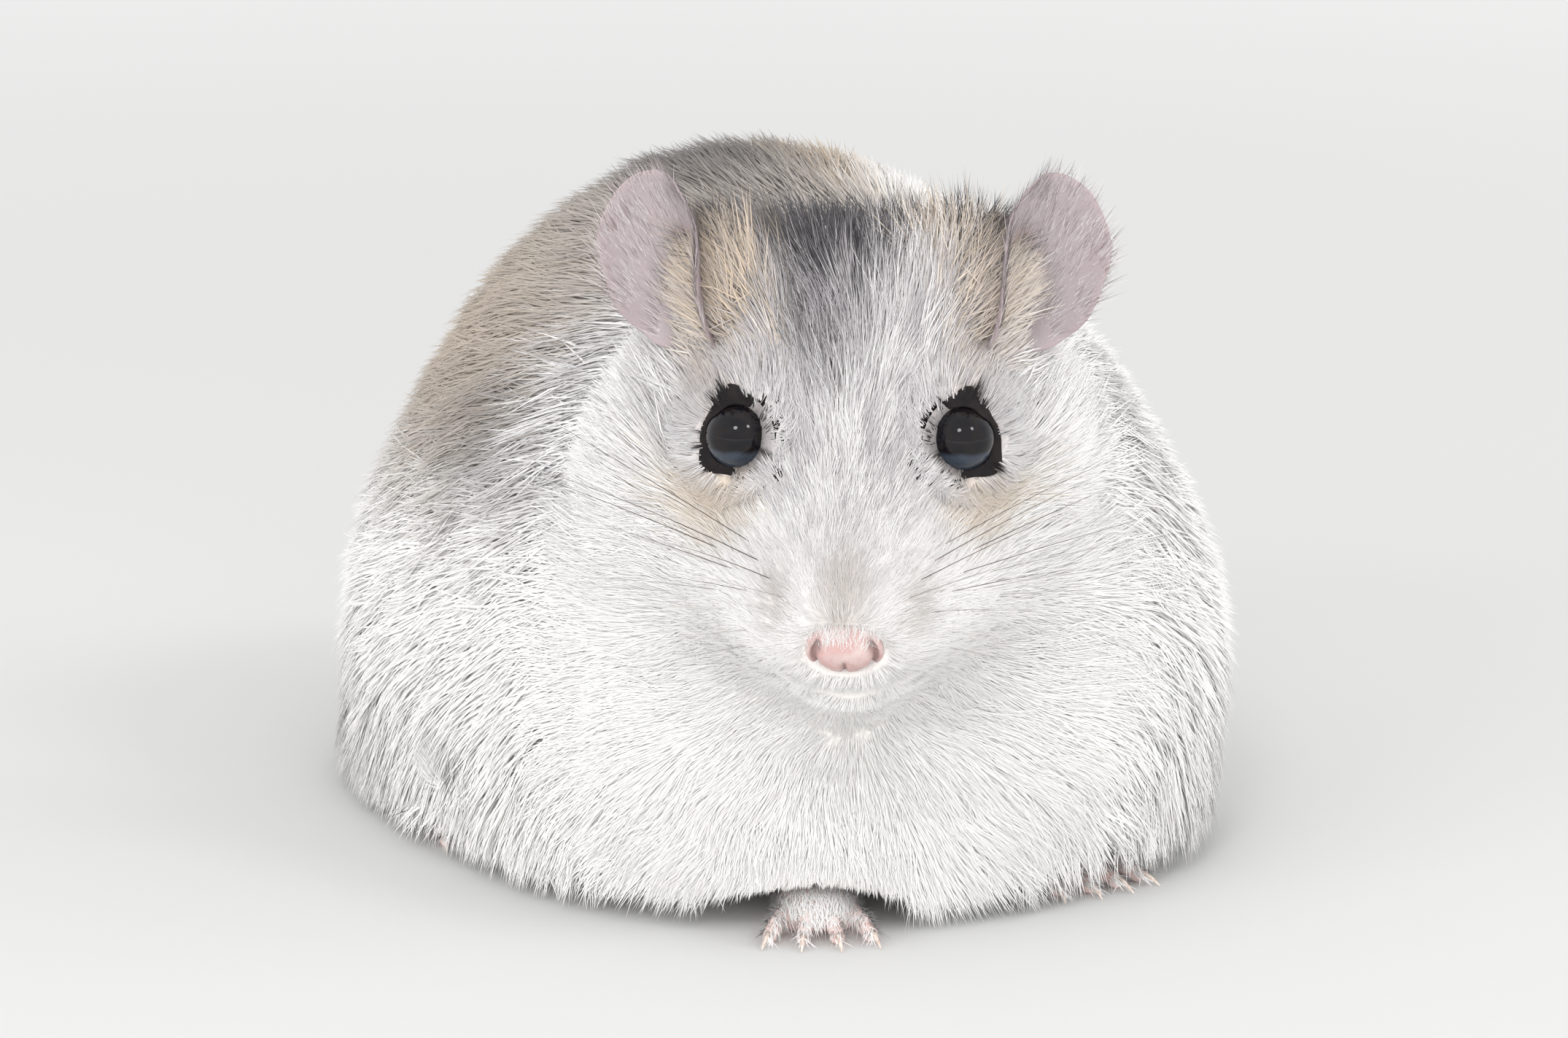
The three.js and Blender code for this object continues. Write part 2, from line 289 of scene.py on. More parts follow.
class Graph:
    """A material's node graph."""

    def __init__(self, name: str) -> None:
        """Starts an empty material."""
        self.material = bpy.data.materials.new(name)
        self.material.use_nodes = True
        self.tree = self.material.node_tree
        self.tree.nodes.clear()

    def node(self, kind: str, settings: Optional[dict] = None, inputs: Optional[dict] = None) -> Any:
        """Adds a node.

        Args:
            kind: the node's type.
            settings: its properties, which are set first.
            inputs: a value or a Wire for each input, by name or number.

        Returns:
            The node.
        """
        made = self.tree.nodes.new(kind)
        for key, value in (settings or {}).items():
            setattr(made, key, value)
        for key, value in (inputs or {}).items():
            if isinstance(value, Wire):
                self.tree.links.new(value.socket, made.inputs[key])
            else:
                made.inputs[key].default_value = value
        return made

    def take(
        self,
        kind: str,
        settings: Optional[dict] = None,
        inputs: Optional[dict] = None,
        output: Union[int, str] = 0,
    ) -> Wire:
        """Adds a node and gives one of its outputs."""
        return Wire(self, self.node(kind, settings, inputs).outputs[output])

    def vector(self, operation: str, *values: Any) -> Wire:
        """A Vector Math node that gives a vector."""
        return self.take("ShaderNodeVectorMath", {"operation": operation}, dict(enumerate(values)))

    def length(self, vector: Wire) -> Wire:
        """A vector's length."""
        return self.take("ShaderNodeVectorMath", {"operation": "LENGTH"}, {0: vector}, "Value")

    def mix(self, share: Any, first: Any, second: Any, blend: str = "MIX") -> Wire:
        """One colour mixed into another by a share. A colour is a Wire or three numbers."""
        first, second = (end if isinstance(end, Wire) else (*end, 1.0) for end in (first, second))
        settings = {"data_type": "RGBA", "blend_type": blend, "clamp_factor": True}
        return self.take("ShaderNodeMix", settings, {0: share, 6: first, 7: second}, 2)

    def noise(self, place: Wire, scale: float, detail: float = 2.0, output: str = "Fac") -> Wire:
        """A noise texture at a place that is given in millimetres."""
        inputs = {"Vector": place, "Scale": scale, "Detail": detail}
        return self.take("ShaderNodeTexNoise", {}, inputs, output)

    def object_place(self) -> Wire:
        """The place on the piece, in millimetres."""
        return self.scaled(self.take("ShaderNodeTexCoord", output="Object"))

    def scaled(self, place: Wire) -> Wire:
        """A place in metres, in millimetres."""
        return self.vector("MULTIPLY", place, (1 / MM,) * 3)

    def attribute(self, name: str, output: str = "Fac") -> Wire:
        """A piece's own attribute."""
        return self.take("ShaderNodeAttribute", {"attribute_name": name}, output=output)

    def bump(self, height: Wire, distance: float, strength: float = 1.0) -> Wire:
        """A bump from a height, with its distance in millimetres."""
        inputs = {"Height": height, "Distance": distance * MM, "Strength": strength}
        return self.take("ShaderNodeBump", {}, inputs)

    def finish(
        self, colour: Wire, roughness: float, gloss: float, normal: Optional[Wire] = None, **more: Any
    ) -> bpy.types.Material:
        """Closes the graph with a Principled shader.

        Args:
            colour: the surface's colour.
            roughness: from 0 to 1.
            gloss: the shader's specular level.
            normal: a bump, where there is one.
            more: other inputs, by name with _ for each space.

        Returns:
            The material.
        """
        inputs = {"Base Color": colour, "Roughness": roughness, "Specular IOR Level": gloss}
        inputs |= {key.replace("_", " "): value for key, value in more.items()}
        if normal is not None:
            inputs["Normal"] = normal
        shader = self.take("ShaderNodeBsdfPrincipled", {}, inputs)
        self.node("ShaderNodeOutputMaterial", {}, {"Surface": shader})
        return self.material


# ---- Markings ----
class Space(Enum):
    """What a marking's place is measured in."""

    BODY = "body"
    HEAD = "head"


@dataclass(frozen=True)
class Marking:
    """An egg-shaped patch of colour, in millimetres, with a soft edge.

    A ticked marking colours only a share of the hairs.
    """

    tone: Tone
    space: Space
    centre: Triple
    radii: Triple
    soft: float = 0.25
    strength: float = 1.0
    ticked: bool = False


BODY, HEAD = Space.BODY, Space.HEAD
MARKINGS: tuple[Marking, ...] = (
    # the back, which runs down the right side as far as the flank
    Marking(Tone.GREY_BROWN, BODY, (-20, 14, 70), (40, 58, 37), 0.2, 0.85),
    Marking(Tone.TAN, BODY, (-26, 20, 50), (13, 26, 11), 0.7, 0.35),
    Marking(Tone.SILVER, BODY, (-29, -14, 52), (9, 12, 9), 0.7, 0.6, True),
    Marking(Tone.CHARCOAL, BODY, (-31, -10, 42), (9, 12, 6.5), 0.7, 0.48),
    Marking(Tone.CHARCOAL, BODY, (-4.5, 0, 63.5), (9.5, 15, 7), 0.4, 0.55),
    Marking(Tone.TAN, BODY, (6, -9, 62), (4.5, 10, 7), 0.5, 0.8),
    Marking(Tone.WHITE, BODY, (13.5, -13, 59), (9, 11, 10), 0.4, 0.95),
    # the far side and the rump
    Marking(Tone.CHARCOAL, BODY, (31, 8, 42), (11, 13, 10), 0.35, 0.9),
    Marking(Tone.TAN, BODY, (24, 30, 44), (12, 12, 12), 0.4, 0.8),
    Marking(Tone.CHARCOAL, BODY, (-6, 46, 36), (12, 12, 11), 0.35, 0.85),
    # the cheeks and the neck
    Marking(Tone.WHITE, BODY, (-30, -32, 42), (12, 13, 16), 0.45, 0.9),
    Marking(Tone.WHITE, BODY, (-25, -17, 46), (9, 8.5, 13), 0.5, 0.85),
    Marking(Tone.CHARCOAL, BODY, (15.5, -36, 51), (6.5, 8, 6), 0.6, 0.75),
    Marking(Tone.SILVER, BODY, (-31, -20, 45), (12, 17, 13), 0.5, 0.75, True),
    Marking(Tone.SILVER, BODY, (13, -42, 45), (11, 10, 11), 0.5, 0.8, True),
    # the crown and the brow
    Marking(Tone.TAN, HEAD, (-6.8, 6.5, 9.5), (4.0, 6.0, 5), 0.6, 0.9),
    Marking(Tone.TAN, HEAD, (-12, 4.0, 6.0), (2.8, 5.5, 5), 0.6, 0.8),
    Marking(Tone.TAN, HEAD, (-9.6, 6.5, 9.2), (2.4, 3.2, 3.2), 0.5, 0.85),
    Marking(Tone.TAN, HEAD, (8.2, 11.5, 11), (4.0, 5.5, 5), 0.6, 0.9),
    Marking(Tone.TAN, HEAD, (10.5, 4.5, 7.5), (3.2, 5.0, 5), 0.6, 0.75),
    Marking(Tone.SILVER, HEAD, (0, 8, 10), (16, 12, 9), 0.4, 0.35, True),
    Marking(Tone.CHARCOAL, HEAD, (9, 11, 11), (2.0, 5, 4.5), 0.6, 0.7, True),
    Marking(Tone.CHARCOAL, HEAD, (-6, 5, 9), (3.2, 6, 5), 0.7, 0.55, True),
    Marking(Tone.SILVER, HEAD, (0, -3, 4), (19, 20, 12), 0.4, 0.32),
    Marking(Tone.CHARCOAL, HEAD, (0.3, 15, 11), (7.2, 9.8, 8), 0.35, 0.97),
    Marking(Tone.CHARCOAL, HEAD, (-1.9, 3.5, 9), (3.7, 9.2, 6), 0.4, 0.95),
    Marking(Tone.CHARCOAL, HEAD, (-10.9, 11.8, 10.2), (2.9, 3.5, 4.5), 0.35, 0.97),
    Marking(Tone.CHARCOAL, HEAD, (10.9, 11.8, 10.2), (3.1, 3.7, 4.5), 0.35, 0.97),
    # the face
    Marking(Tone.SILVER, HEAD, (0, -4, 4), (12, 15, 9), 0.5, 0.9, True),
    Marking(Tone.SILVER, HEAD, (0, -4, 3), (8, 10, 7), 0.5, 0.2),
    Marking(Tone.SILVER, HEAD, (-9.5, -0.8, 0.6), (6.0, 6.0, 6.0), 0.4, 0.45),
    Marking(Tone.SILVER, HEAD, (9.5, -0.8, 0.6), (6.0, 6.0, 6.0), 0.4, 0.45),
    Marking(Tone.TAN, HEAD, (-10.5, -4.5, -4.5), (4.5, 4.2, 3.2), 0.6, 0.6),
    Marking(Tone.TAN, HEAD, (10.3, -4.5, -4.5), (4.2, 4.2, 3.0), 0.6, 0.6),
    Marking(Tone.SILVER, HEAD, (0, -16.0, -7), (7.5, 6.0, 5.5), 0.4, 0.22),
    Marking(Tone.GREY_BROWN, HEAD, (0, -15.6, -4.6), (1.9, 4.0, 2.6), 0.7, 0.6),
    Marking(Tone.GREY_BROWN, HEAD, (-5.0, -14.2, -6.2), (1.1, 3.4, 2.0), 0.7, 0.6),
    Marking(Tone.GREY_BROWN, HEAD, (5.0, -14.2, -6.2), (1.1, 3.4, 2.0), 0.7, 0.6),
)
BODY_WANDER, HEAD_WANDER, WANDER_SCALE = 6.0, 2.6, 0.17
TICK_FROM, TICK_TO = 0.5, 0.66
CREAM_SHARE = 0.35


def marked(graph: Graph, head: HeadFrame, place: Wire, tone: Wire) -> Wire:
    """The coat's colour at a place.

    Args:
        graph: the material's graph.
        head: the head's frame.
        place: the place in millimetres.
        tone: the hair's own number from 0 to 1.

    Returns:
        The colour.
    """
    wander = graph.vector("SUBTRACT", graph.noise(place, WANDER_SCALE, 2.0, "Color"), (0.5,) * 3)
    body_place = graph.vector("ADD", place, graph.vector("MULTIPLY", wander, (BODY_WANDER,) * 3))
    turned = {
        "Vector": graph.vector("ADD", place, graph.vector("MULTIPLY", wander, (HEAD_WANDER,) * 3)),
        "Location": tuple(head.origin / MM),
        "Rotation": tuple(Matrix(head.axes.tolist()).to_euler()),
    }
    head_place = graph.take("ShaderNodeMapping", {"vector_type": "TEXTURE"}, turned)
    ticks = tone.rise(TICK_FROM, TICK_TO)
    colour = graph.mix(tone * CREAM_SHARE, Tone.WHITE.value, Tone.CREAM.value)
    for marking in MARKINGS:
        space = head_place if marking.space is HEAD else body_place
        offset = graph.vector("SUBTRACT", space, marking.centre)
        reach = graph.length(graph.vector("DIVIDE", offset, marking.radii))
        cover = (1.0 - reach.rise(1.0 - marking.soft, 1.0 + marking.soft)) * marking.strength
        if marking.ticked:
            cover = cover * ticks
        colour = graph.mix(cover, colour, marking.tone.value)
    return graph.mix(graph.attribute("lash"), colour, Tone.SOOT.value)


# ---- Finishes ----
def spread_light(weight: float, radii: Triple) -> dict:
    """A finish's inputs for light that spreads under the skin, with its radii in millimetres."""
    radius = tuple(part * MM for part in radii)
    return {"Subsurface_Weight": weight, "Subsurface_Radius": radius, "Subsurface_Scale": 1.0}


@dataclass(frozen=True)
class CoatFinish:
    """Fur: each lock has one colour, darker at its root and paler at its tip."""

    head: HeadFrame
    name: str = "coat"
    tint: Optional[Tone] = None
    root_shade: float = 0.90
    root_reach: float = 0.5
    unevenness: float = 0.09

    def build(self) -> bpy.types.Material:
        """Makes the material."""
        graph = Graph(self.name)
        tone = graph.attribute("tone")
        along = graph.attribute("along")
        if self.tint is None:
            colour = marked(graph, self.head, graph.scaled(graph.attribute("mark", "Vector")), tone)
        else:
            colour = graph.mix(tone.rise(0.35, 0.9), self.tint.value, Tone.TAUPE.value)
        shade = (self.root_shade, self.root_shade * 0.985, self.root_shade * 0.97)
        dark = graph.mix(1.0, colour, shade, "MULTIPLY")
        colour = graph.mix(along.rise(0.0, self.root_reach), dark, colour)
        level = 1.0 - tone * self.unevenness
        pale = graph.take("ShaderNodeCombineColor", {}, {0: level, 1: level, 2: level})
        return graph.finish(graph.mix(1.0, colour, pale, "MULTIPLY"), roughness=0.65, gloss=0.14)


@dataclass(frozen=True)
class SkinFinish:
    """The skin under the coat, in the coat's own markings, darkened all over by its depth as painted shade,
    the shade that falls between hairs.
    """

    head: HeadFrame
    depth: float = 0.92

    def build(self) -> bpy.types.Material:
        """Makes the material."""
        graph = Graph("skin")
        place = graph.object_place()
        colour = marked(graph, self.head, place, graph.noise(place, 2.6, 3.0))
        # painted shade: the skin's colour is multiplied down as if shaded by the hairs over it
        shade = (self.depth, self.depth * 0.97, self.depth * 0.95)
        normal = graph.bump(graph.noise(place, 5.0, 4.0), 0.12)
        return graph.finish(graph.mix(1.0, colour, shade, "MULTIPLY"), 0.75, 0.2, normal)


@dataclass(frozen=True)
class BareSkinFinish:
    """Bare skin, with fine creases, redder patches, and painted shade in its hollows in a darker, redder
    colour.
    """

    name: str
    pale: Triple
    flushed: Triple
    roughness: float = 0.5
    crease: float = 4.0
    depth: float = 0.05
    gloss: float = 0.45
    flush_shade: float = 0.62

    def build(self) -> bpy.types.Material:
        """Makes the material."""
        graph = Graph(self.name)
        place = graph.object_place()
        patch = graph.noise(place, 0.55, 3.0).rise(0.38, 0.66)
        colour = graph.mix(patch, self.pale, self.flushed)
        # painted shade: where flush is set, the colour darkens to a deeper copy of the redder colour
        flush = graph.attribute("flush").rise(0.0, 1.0)
        colour = graph.mix(flush, colour, tuple(part * self.flush_shade for part in self.flushed))
        cells = {"Vector": place, "Scale": self.crease, "Randomness": 1.0}
        creases = graph.take("ShaderNodeTexVoronoi", {"feature": "DISTANCE_TO_EDGE"}, cells)
        height = creases.rise(0.0, 0.35) + graph.noise(place, self.crease * 0.5, 3.0) * 0.6
        normal = graph.bump(height, self.depth, 0.7)
        flesh = spread_light(0.12, (0.9, 0.4, 0.3))
        return graph.finish(colour, self.roughness, self.gloss, normal, **flesh)


@dataclass(frozen=True)
class EarFinish:
    """The thin ear: mauve-grey skin with a paler, pinker rim, and a red-brown cup: partly the ear's own
    colour, partly painted shade in its hollow.
    """

    rim: Triple = (0.40, 0.33, 0.34)
    cup: Triple = (0.30, 0.185, 0.165)
    outside: Triple = (0.38, 0.325, 0.335)

    def build(self) -> bpy.types.Material:
        """Makes the material."""
        graph = Graph("ear_skin")
        place = graph.object_place()
        grain = graph.noise(place, 1.2, 4.0)
        hollow = graph.attribute("hollow") + (grain - 0.5) * 0.5
        # partly painted shade: the colour turns darker red-brown towards the deepest part of the cup
        colour = graph.mix(hollow.rise(0.1, 0.9), self.outside, self.cup)
        edge = graph.attribute("edge") + (grain - 0.5) * 0.3
        colour = graph.mix(edge.rise(0.6, 1.05), colour, self.rim)
        normal = graph.bump(graph.noise(place, 3.2, 4.0), 0.08, 0.8)
        return graph.finish(colour, 0.6, 0.35, normal, **spread_light(0.1, (0.8, 0.3, 0.25)))


@dataclass(frozen=True)
class EyeFinish:
    """A dark wet eye, with a painted blue-grey reflection of the floor in its lower half, from a level
    given in millimetres.
    """

    level: float
    black: Triple = (0.004, 0.004, 0.006)
    brown: Triple = (0.010, 0.007, 0.007)
    haze: Triple = (0.042, 0.053, 0.072)

    def build(self) -> bpy.types.Material:
        """Makes the material."""
        graph = Graph("eye")
        place = graph.object_place()
        grain = graph.noise(place, 0.8, 2.0)
        colour = graph.mix(grain.rise(0.4, 0.7), self.black, self.brown)
        height = graph.take("ShaderNodeSeparateXYZ", {}, {0: place}, 2)
        # painted reflection: below the level the ball's colour turns blue-grey, standing for the floor
        # mirrored in the lower half of the eye
        reflection_share = (1.0 - (height + grain * 0.5).rise(self.level - 1.0, self.level - 0.4)) * 0.85
        return graph.finish(graph.mix(reflection_share, colour, self.haze), roughness=0.045, gloss=0.32)


@dataclass(frozen=True)
class HornFinish:
    """Horn or hair shaft: one colour, streaked a little along its grain."""

    name: str
    light: Triple
    dark: Triple
    pale: Triple
    roughness: float

    def build(self) -> bpy.types.Material:
        """Makes the material."""
        graph = Graph(self.name)
        grain = graph.noise(graph.object_place(), 1.8, 2.0)
        colour = graph.mix(grain.rise(0.35, 0.65), self.light, self.dark)
        colour = graph.mix(graph.attribute("pale"), colour, self.pale)
        return graph.finish(colour, self.roughness, gloss=0.5)


@dataclass(frozen=True)
class FloorFinish:
    """A plain pale floor, a little lighter further off, where the lamps don't reach."""

    colour: Triple = (0.66, 0.66, 0.65)
    far: Triple = (0.95, 0.95, 0.94)
    near_reach: float = 150.0
    far_reach: float = 1200.0

    def build(self) -> bpy.types.Material:
        """Makes the material."""
        graph = Graph("floor")
        away = graph.length(graph.object_place()).rise(self.near_reach, self.far_reach)
        return graph.finish(graph.mix(away, self.colour, self.far), roughness=0.9, gloss=0.1)


# ---- Meshes ----
def placed(name: str, data: Any) -> bpy.types.Object:
    """Puts an object with the given data in the scene."""
    made = bpy.data.objects.new(name, data)
    bpy.context.scene.collection.objects.link(made)
    return made


def object_from(name: str, source: bmesh.types.BMesh) -> bpy.types.Object:
    """Makes an object of a bmesh and frees the bmesh."""
    mesh = bpy.data.meshes.new(name)
    source.to_mesh(mesh)
    source.free()
    return placed(name, mesh)


def with_modifiers(source: bpy.types.Object, modifiers: Sequence[tuple[str, dict]]) -> bpy.types.Object:
    """Puts modifiers on an object and applies them.

    Args:
        source: the object.
        modifiers: each modifier's type and settings, in order.

    Returns:
        The same object with its mesh replaced.
    """
    for kind, settings in modifiers:
        modifier = source.modifiers.new(kind.lower(), kind)
        for key, value in settings.items():
            setattr(modifier, key, value)
    graph = bpy.context.evaluated_depsgraph_get()
    mesh = bpy.data.meshes.new_from_object(source.evaluated_get(graph))
    source.modifiers.clear()
    old, source.data = source.data, mesh
    bpy.data.meshes.remove(old)
    return source


def grown_together(source: bpy.types.Object, voxel: float, smoothing: int = 0) -> bpy.types.Object:
    """Makes one closed surface of an object's parts, with its voxel in millimetres, and smooths it."""
    modifiers = [("REMESH", {"mode": "VOXEL", "voxel_size": voxel * MM})]
    if smoothing:
        modifiers.append(("SMOOTH", {"factor": 0.5, "iterations": smoothing}))
    return with_modifiers(source, modifiers)


def places_of(mesh: bpy.types.Mesh, kind: str = "co") -> Array:
    """The places or normals of a mesh's vertices."""
    flat = np.empty(len(mesh.vertices) * 3, np.float32)
    mesh.vertices.foreach_get(kind, flat)
    return flat.reshape(-1, 3).astype(float)


def move_to(mesh: bpy.types.Mesh, places: Array) -> None:
    """Puts a mesh's vertices in new places."""
    mesh.vertices.foreach_set("co", places.astype(np.float32).ravel())
    mesh.update()


def give_attribute(mesh: bpy.types.Mesh, name: str, values: Array) -> None:
    """Gives each vertex a number, or a vector, under a name."""
    kind, key = ("FLOAT_VECTOR", "vector") if values.ndim == 2 else ("FLOAT", "value")
    layer = mesh.attributes.new(name, kind, "POINT")
    layer.data.foreach_set(key, values.astype(np.float32).ravel())


def shade_smooth(mesh: bpy.types.Mesh) -> None:
    """Shades every face smooth."""
    mesh.polygons.foreach_set("use_smooth", np.ones(len(mesh.polygons), bool))


def outward(owner: bpy.types.Object) -> bpy.types.Object:
    """Turns every face of an object outwards."""
    shape = bmesh.new()
    shape.from_mesh(owner.data)
    bmesh.ops.recalc_face_normals(shape, faces=shape.faces)
    shape.to_mesh(owner.data)
    shape.free()
    return owner


def nearest(places: Array, seeds: Array) -> Array:
    """The number of the nearest seed to each place."""
    tree = KDTree(len(seeds))
    for number, seed in enumerate(seeds.tolist()):
        tree.insert(seed, number)
    tree.balance()
    return np.array([tree.find(place)[1] for place in places.tolist()])


def ball(source: bmesh.types.BMesh, matrix: Matrix, segments: int) -> None:
    """Adds a ball of radius 1 under a matrix."""
    levels = segments * 3 // 5
    bmesh.ops.create_uvsphere(source, u_segments=segments, v_segments=levels, radius=1.0, matrix=matrix)


def egg(
    source: bmesh.types.BMesh, frame: Matrix, centre: Triple, radii: Triple, segments: int = 32
) -> None:
    """Adds an egg, given in millimetres in a frame."""
    size = Matrix.Diagonal((*(radius * MM for radius in radii), 1.0))
    ball(source, frame @ Matrix.Translation(Vector(centre) * MM) @ size, segments)


@dataclass
class Surface:
    """A triangulated surface that hair can grow from."""

    places: Array
    normals: Array
    corners: Array
    corner_uvs: Array

    @classmethod
    def of(cls, owner: bpy.types.Object) -> "Surface":
        """Unwraps an object and reads its mesh."""
        mesh = owner.data
        cls._lay_out(owner)
        mesh.calc_loop_triangles()
        count = len(mesh.loop_triangles)
        corners = np.empty(count * 3, np.int32)
        loops = np.empty(count * 3, np.int32)
        mesh.loop_triangles.foreach_get("vertices", corners)
        mesh.loop_triangles.foreach_get("loops", loops)
        flat = np.empty(len(mesh.loops) * 2, np.float32)
        mesh.uv_layers[0].data.foreach_get("uv", flat)
        uvs = flat.reshape(-1, 2)[loops].reshape(-1, 3, 2)
        return cls(places_of(mesh), places_of(mesh, "normal"), corners.reshape(-1, 3), uvs)

    @staticmethod
    def _lay_out(owner: bpy.types.Object) -> None:
        """Unwraps an object's mesh flat, by its own shape."""
        bpy.ops.object.select_all(action="DESELECT")
        owner.select_set(True)
        bpy.context.view_layer.objects.active = owner
        owner.data.uv_layers.new(name="lay")
        bpy.ops.object.mode_set(mode="EDIT")
        bpy.ops.mesh.select_all(action="SELECT")
        bpy.ops.uv.smart_project(angle_limit=1.15, island_margin=0.004, scale_to_bounds=True)
        bpy.ops.object.mode_set(mode="OBJECT")

    def scatter(self, count: int, weight: Callable[[Array, Array], Array], seed: int) -> "Roots":
        """Spreads places evenly over the surface.

        Args:
            count: how many.
            weight: how thickly they stand, from the places and normals of the triangles' middles.
            seed: for the random draws.

        Returns:
            The places with their normals and their spots on the unwrap.
        """
        random = np.random.default_rng(seed)
        tips = self.places[self.corners]
        areas = np.linalg.norm(np.cross(tips[:, 1] - tips[:, 0], tips[:, 2] - tips[:, 0]), axis=1) / 2
        normals = self.normals[self.corners]
        shares = np.cumsum(areas * weight(tips.mean(axis=1), unit(normals.mean(axis=1))))
        draws = (np.arange(count) + random.random(count)) / count * shares[-1]
        chosen = np.minimum(np.searchsorted(shares, draws), len(areas) - 1)
        first, second = random.random(count), random.random(count)
        over = first + second > 1.0
        first[over], second[over] = 1.0 - first[over], 1.0 - second[over]
        parts = np.stack([1.0 - first - second, first, second], axis=1)[:, :, None]
        return Roots(
            (tips[chosen] * parts).sum(axis=1),
            unit((normals[chosen] * parts).sum(axis=1)),
            (self.corner_uvs[chosen] * parts).sum(axis=1),
        )


@dataclass
class Roots:
    """Places on the skin that locks of hair grow from."""

    places: Array
    normals: Array
    uvs: Array

    def pick(self, chosen: Array) -> "Roots":
        """Some of the roots."""
        return Roots(self.places[chosen], self.normals[chosen], self.uvs[chosen])


# ---- Locks ----
@dataclass(frozen=True)
class Lock:
    """One lock of hair: a thin three-sided spike, widest some way up, cut into rings so that it can bend.

    Its flat side faces outwards. Widths are shares of the full width, at the root and at each ring.
    """

    root: float
    rings: tuple[tuple[float, float], ...] = ()
    thickness: float = 0.35
    sides: int = 3

    def build(self) -> tuple[Array, Array]:
        """Shapes the lock.

        Returns:
            Its vertices as (across, up, along), and its triangles.
        """
        shape = bmesh.new()
        bmesh.ops.create_cone(
            shape, cap_ends=True, segments=self.sides, radius1=0.5, radius2=0.0, depth=1.0,
            matrix=Matrix.Translation((0.0, 0.0, 0.5)) @ Matrix.Rotation(math.pi, 4, "Z"),
        )
        bmesh.ops.remove_doubles(shape, verts=shape.verts, dist=1e-5)
        for height, _ in self.rings:
            everything = list(shape.verts) + list(shape.edges) + list(shape.faces)
            bmesh.ops.bisect_plane(shape, geom=everything, plane_co=(0, 0, height), plane_no=(0, 0, 1))
        bmesh.ops.triangulate(shape, faces=shape.faces)
        bmesh.ops.recalc_face_normals(shape, faces=shape.faces)
        widths = {0.0: self.root, **dict(self.rings)}
        shape.verts.ensure_lookup_table()
        places = np.array([tuple(v.co) for v in shape.verts])
        for row, place in enumerate(places):
            level = min(widths, key=lambda height: abs(height - place[2]))
            if place[2] < 0.999:
                across = np.linalg.norm(place[:2])
                places[row, :2] *= widths[level] * 0.5 / across
        faces = np.array([[v.index for v in face.verts] for face in shape.faces])
        shape.free()
        places[:, 1] *= self.thickness
        return places, faces


@dataclass
class Growth:
    """How each lock of a patch of coat lies: one row for each root.

    The lock leans towards its tuft by gather at its tip, and takes its colour from the place mark. It is as
    dark as the hair round the eyes by its share lash.
    """

    lie: Array
    length: Array
    width: Array
    rise: Array
    curl: Array
    tone: Array
    gather: Array
    mark: Array
    lash: Array

    def pick(self, chosen: Array) -> "Growth":
        """Some of the locks."""
        return Growth(*(getattr(self, key)[chosen] for key in Growth.__dataclass_fields__))


@dataclass
class CoatPiece:
    """A patch of coat as one mesh, with each lock's root, tone and spot on the unwrap."""

    name: str
    lock: Lock
    roots: Roots
    growth: Growth
    sink: float = 0.25 * MM
    sink_share: float = 0.35
    patch: float = 0.003
    lowest: float = 0.15 * MM
    softness: float = 0.8
    late_reach: float = 0.28
    early_rise: float = 0.55

    def _bent(self, shape: Array) -> Array:
        """Each root's lock, bent over from the root, as places by lock and corner."""
        across, up, along = shape.T
        grow = self.growth
        side = np.cross(self.roots.normals, grow.lie)[:, None, :]
        reach = np.sqrt(np.maximum(grow.length**2 - grow.rise**2, 0.0))[:, None]
        forward = reach * ((1.0 - self.late_reach) * along + self.late_reach * along**2)
        sunk = np.minimum(self.sink, grow.rise * self.sink_share)[:, None]
        arch = (1.0 + self.early_rise) * along - self.early_rise * along**2
        height = grow.rise[:, None] * arch + up * grow.width[:, None] - sunk
        sideways = across * grow.width[:, None] + grow.curl[:, None] * along**2
        places = (
            self.roots.places[:, None, :]
            + grow.lie[:, None, :] * forward[..., None]
            + self.roots.normals[:, None, :] * height[..., None]
            + side * sideways[..., None]
            + grow.gather[:, None, :] * (along**2)[None, :, None]
        )
        places[..., 2] = np.maximum(places[..., 2], self.lowest)
        return places

    def build(self, finish: bpy.types.Material) -> bpy.types.Object:
        """Grows the locks.

        Args:
            finish: the coat's material.

        Returns:
            The piece.
        """
        shape, faces = self.lock.build()
        count, corners = len(self.roots.places), len(shape)
        grow = self.growth
        places = self._bent(shape)
        triangles = (faces[None, :, :] + (np.arange(count) * corners)[:, None, None]).reshape(-1)
        mesh = bpy.data.meshes.new(self.name)
        mesh.vertices.add(count * corners)
        mesh.vertices.foreach_set("co", places.astype(np.float32).ravel())
        mesh.loops.add(len(triangles))
        mesh.loops.foreach_set("vertex_index", triangles.astype(np.int32))
        mesh.polygons.add(len(triangles) // 3)
        mesh.polygons.foreach_set("loop_start", np.arange(0, len(triangles), 3, dtype=np.int32))
        mesh.update(calc_edges=True)
        shade_smooth(mesh)
        own = places_of(mesh, "normal")
        soft = unit(between(own, np.repeat(self.roots.normals, corners, axis=0), self.softness))
        mesh.normals_split_custom_set_from_vertices(soft.tolist())
        give_attribute(mesh, "mark", np.repeat(grow.mark, corners, axis=0))
        give_attribute(mesh, "tone", np.repeat(grow.tone, corners))
        give_attribute(mesh, "along", np.tile(shape[:, 2], count))
        give_attribute(mesh, "lash", np.repeat(grow.lash, corners))
        spots = self.roots.uvs[:, None, :] + ((shape[:, [0, 2]] - (0.0, 0.5)) * self.patch)[None]
        layer = mesh.uv_layers.new(name="OFBake")
        layer.data.foreach_set("uv", spots.reshape(-1, 2)[triangles].astype(np.float32).ravel())
        mesh.materials.append(finish)
        return placed(self.name, mesh)


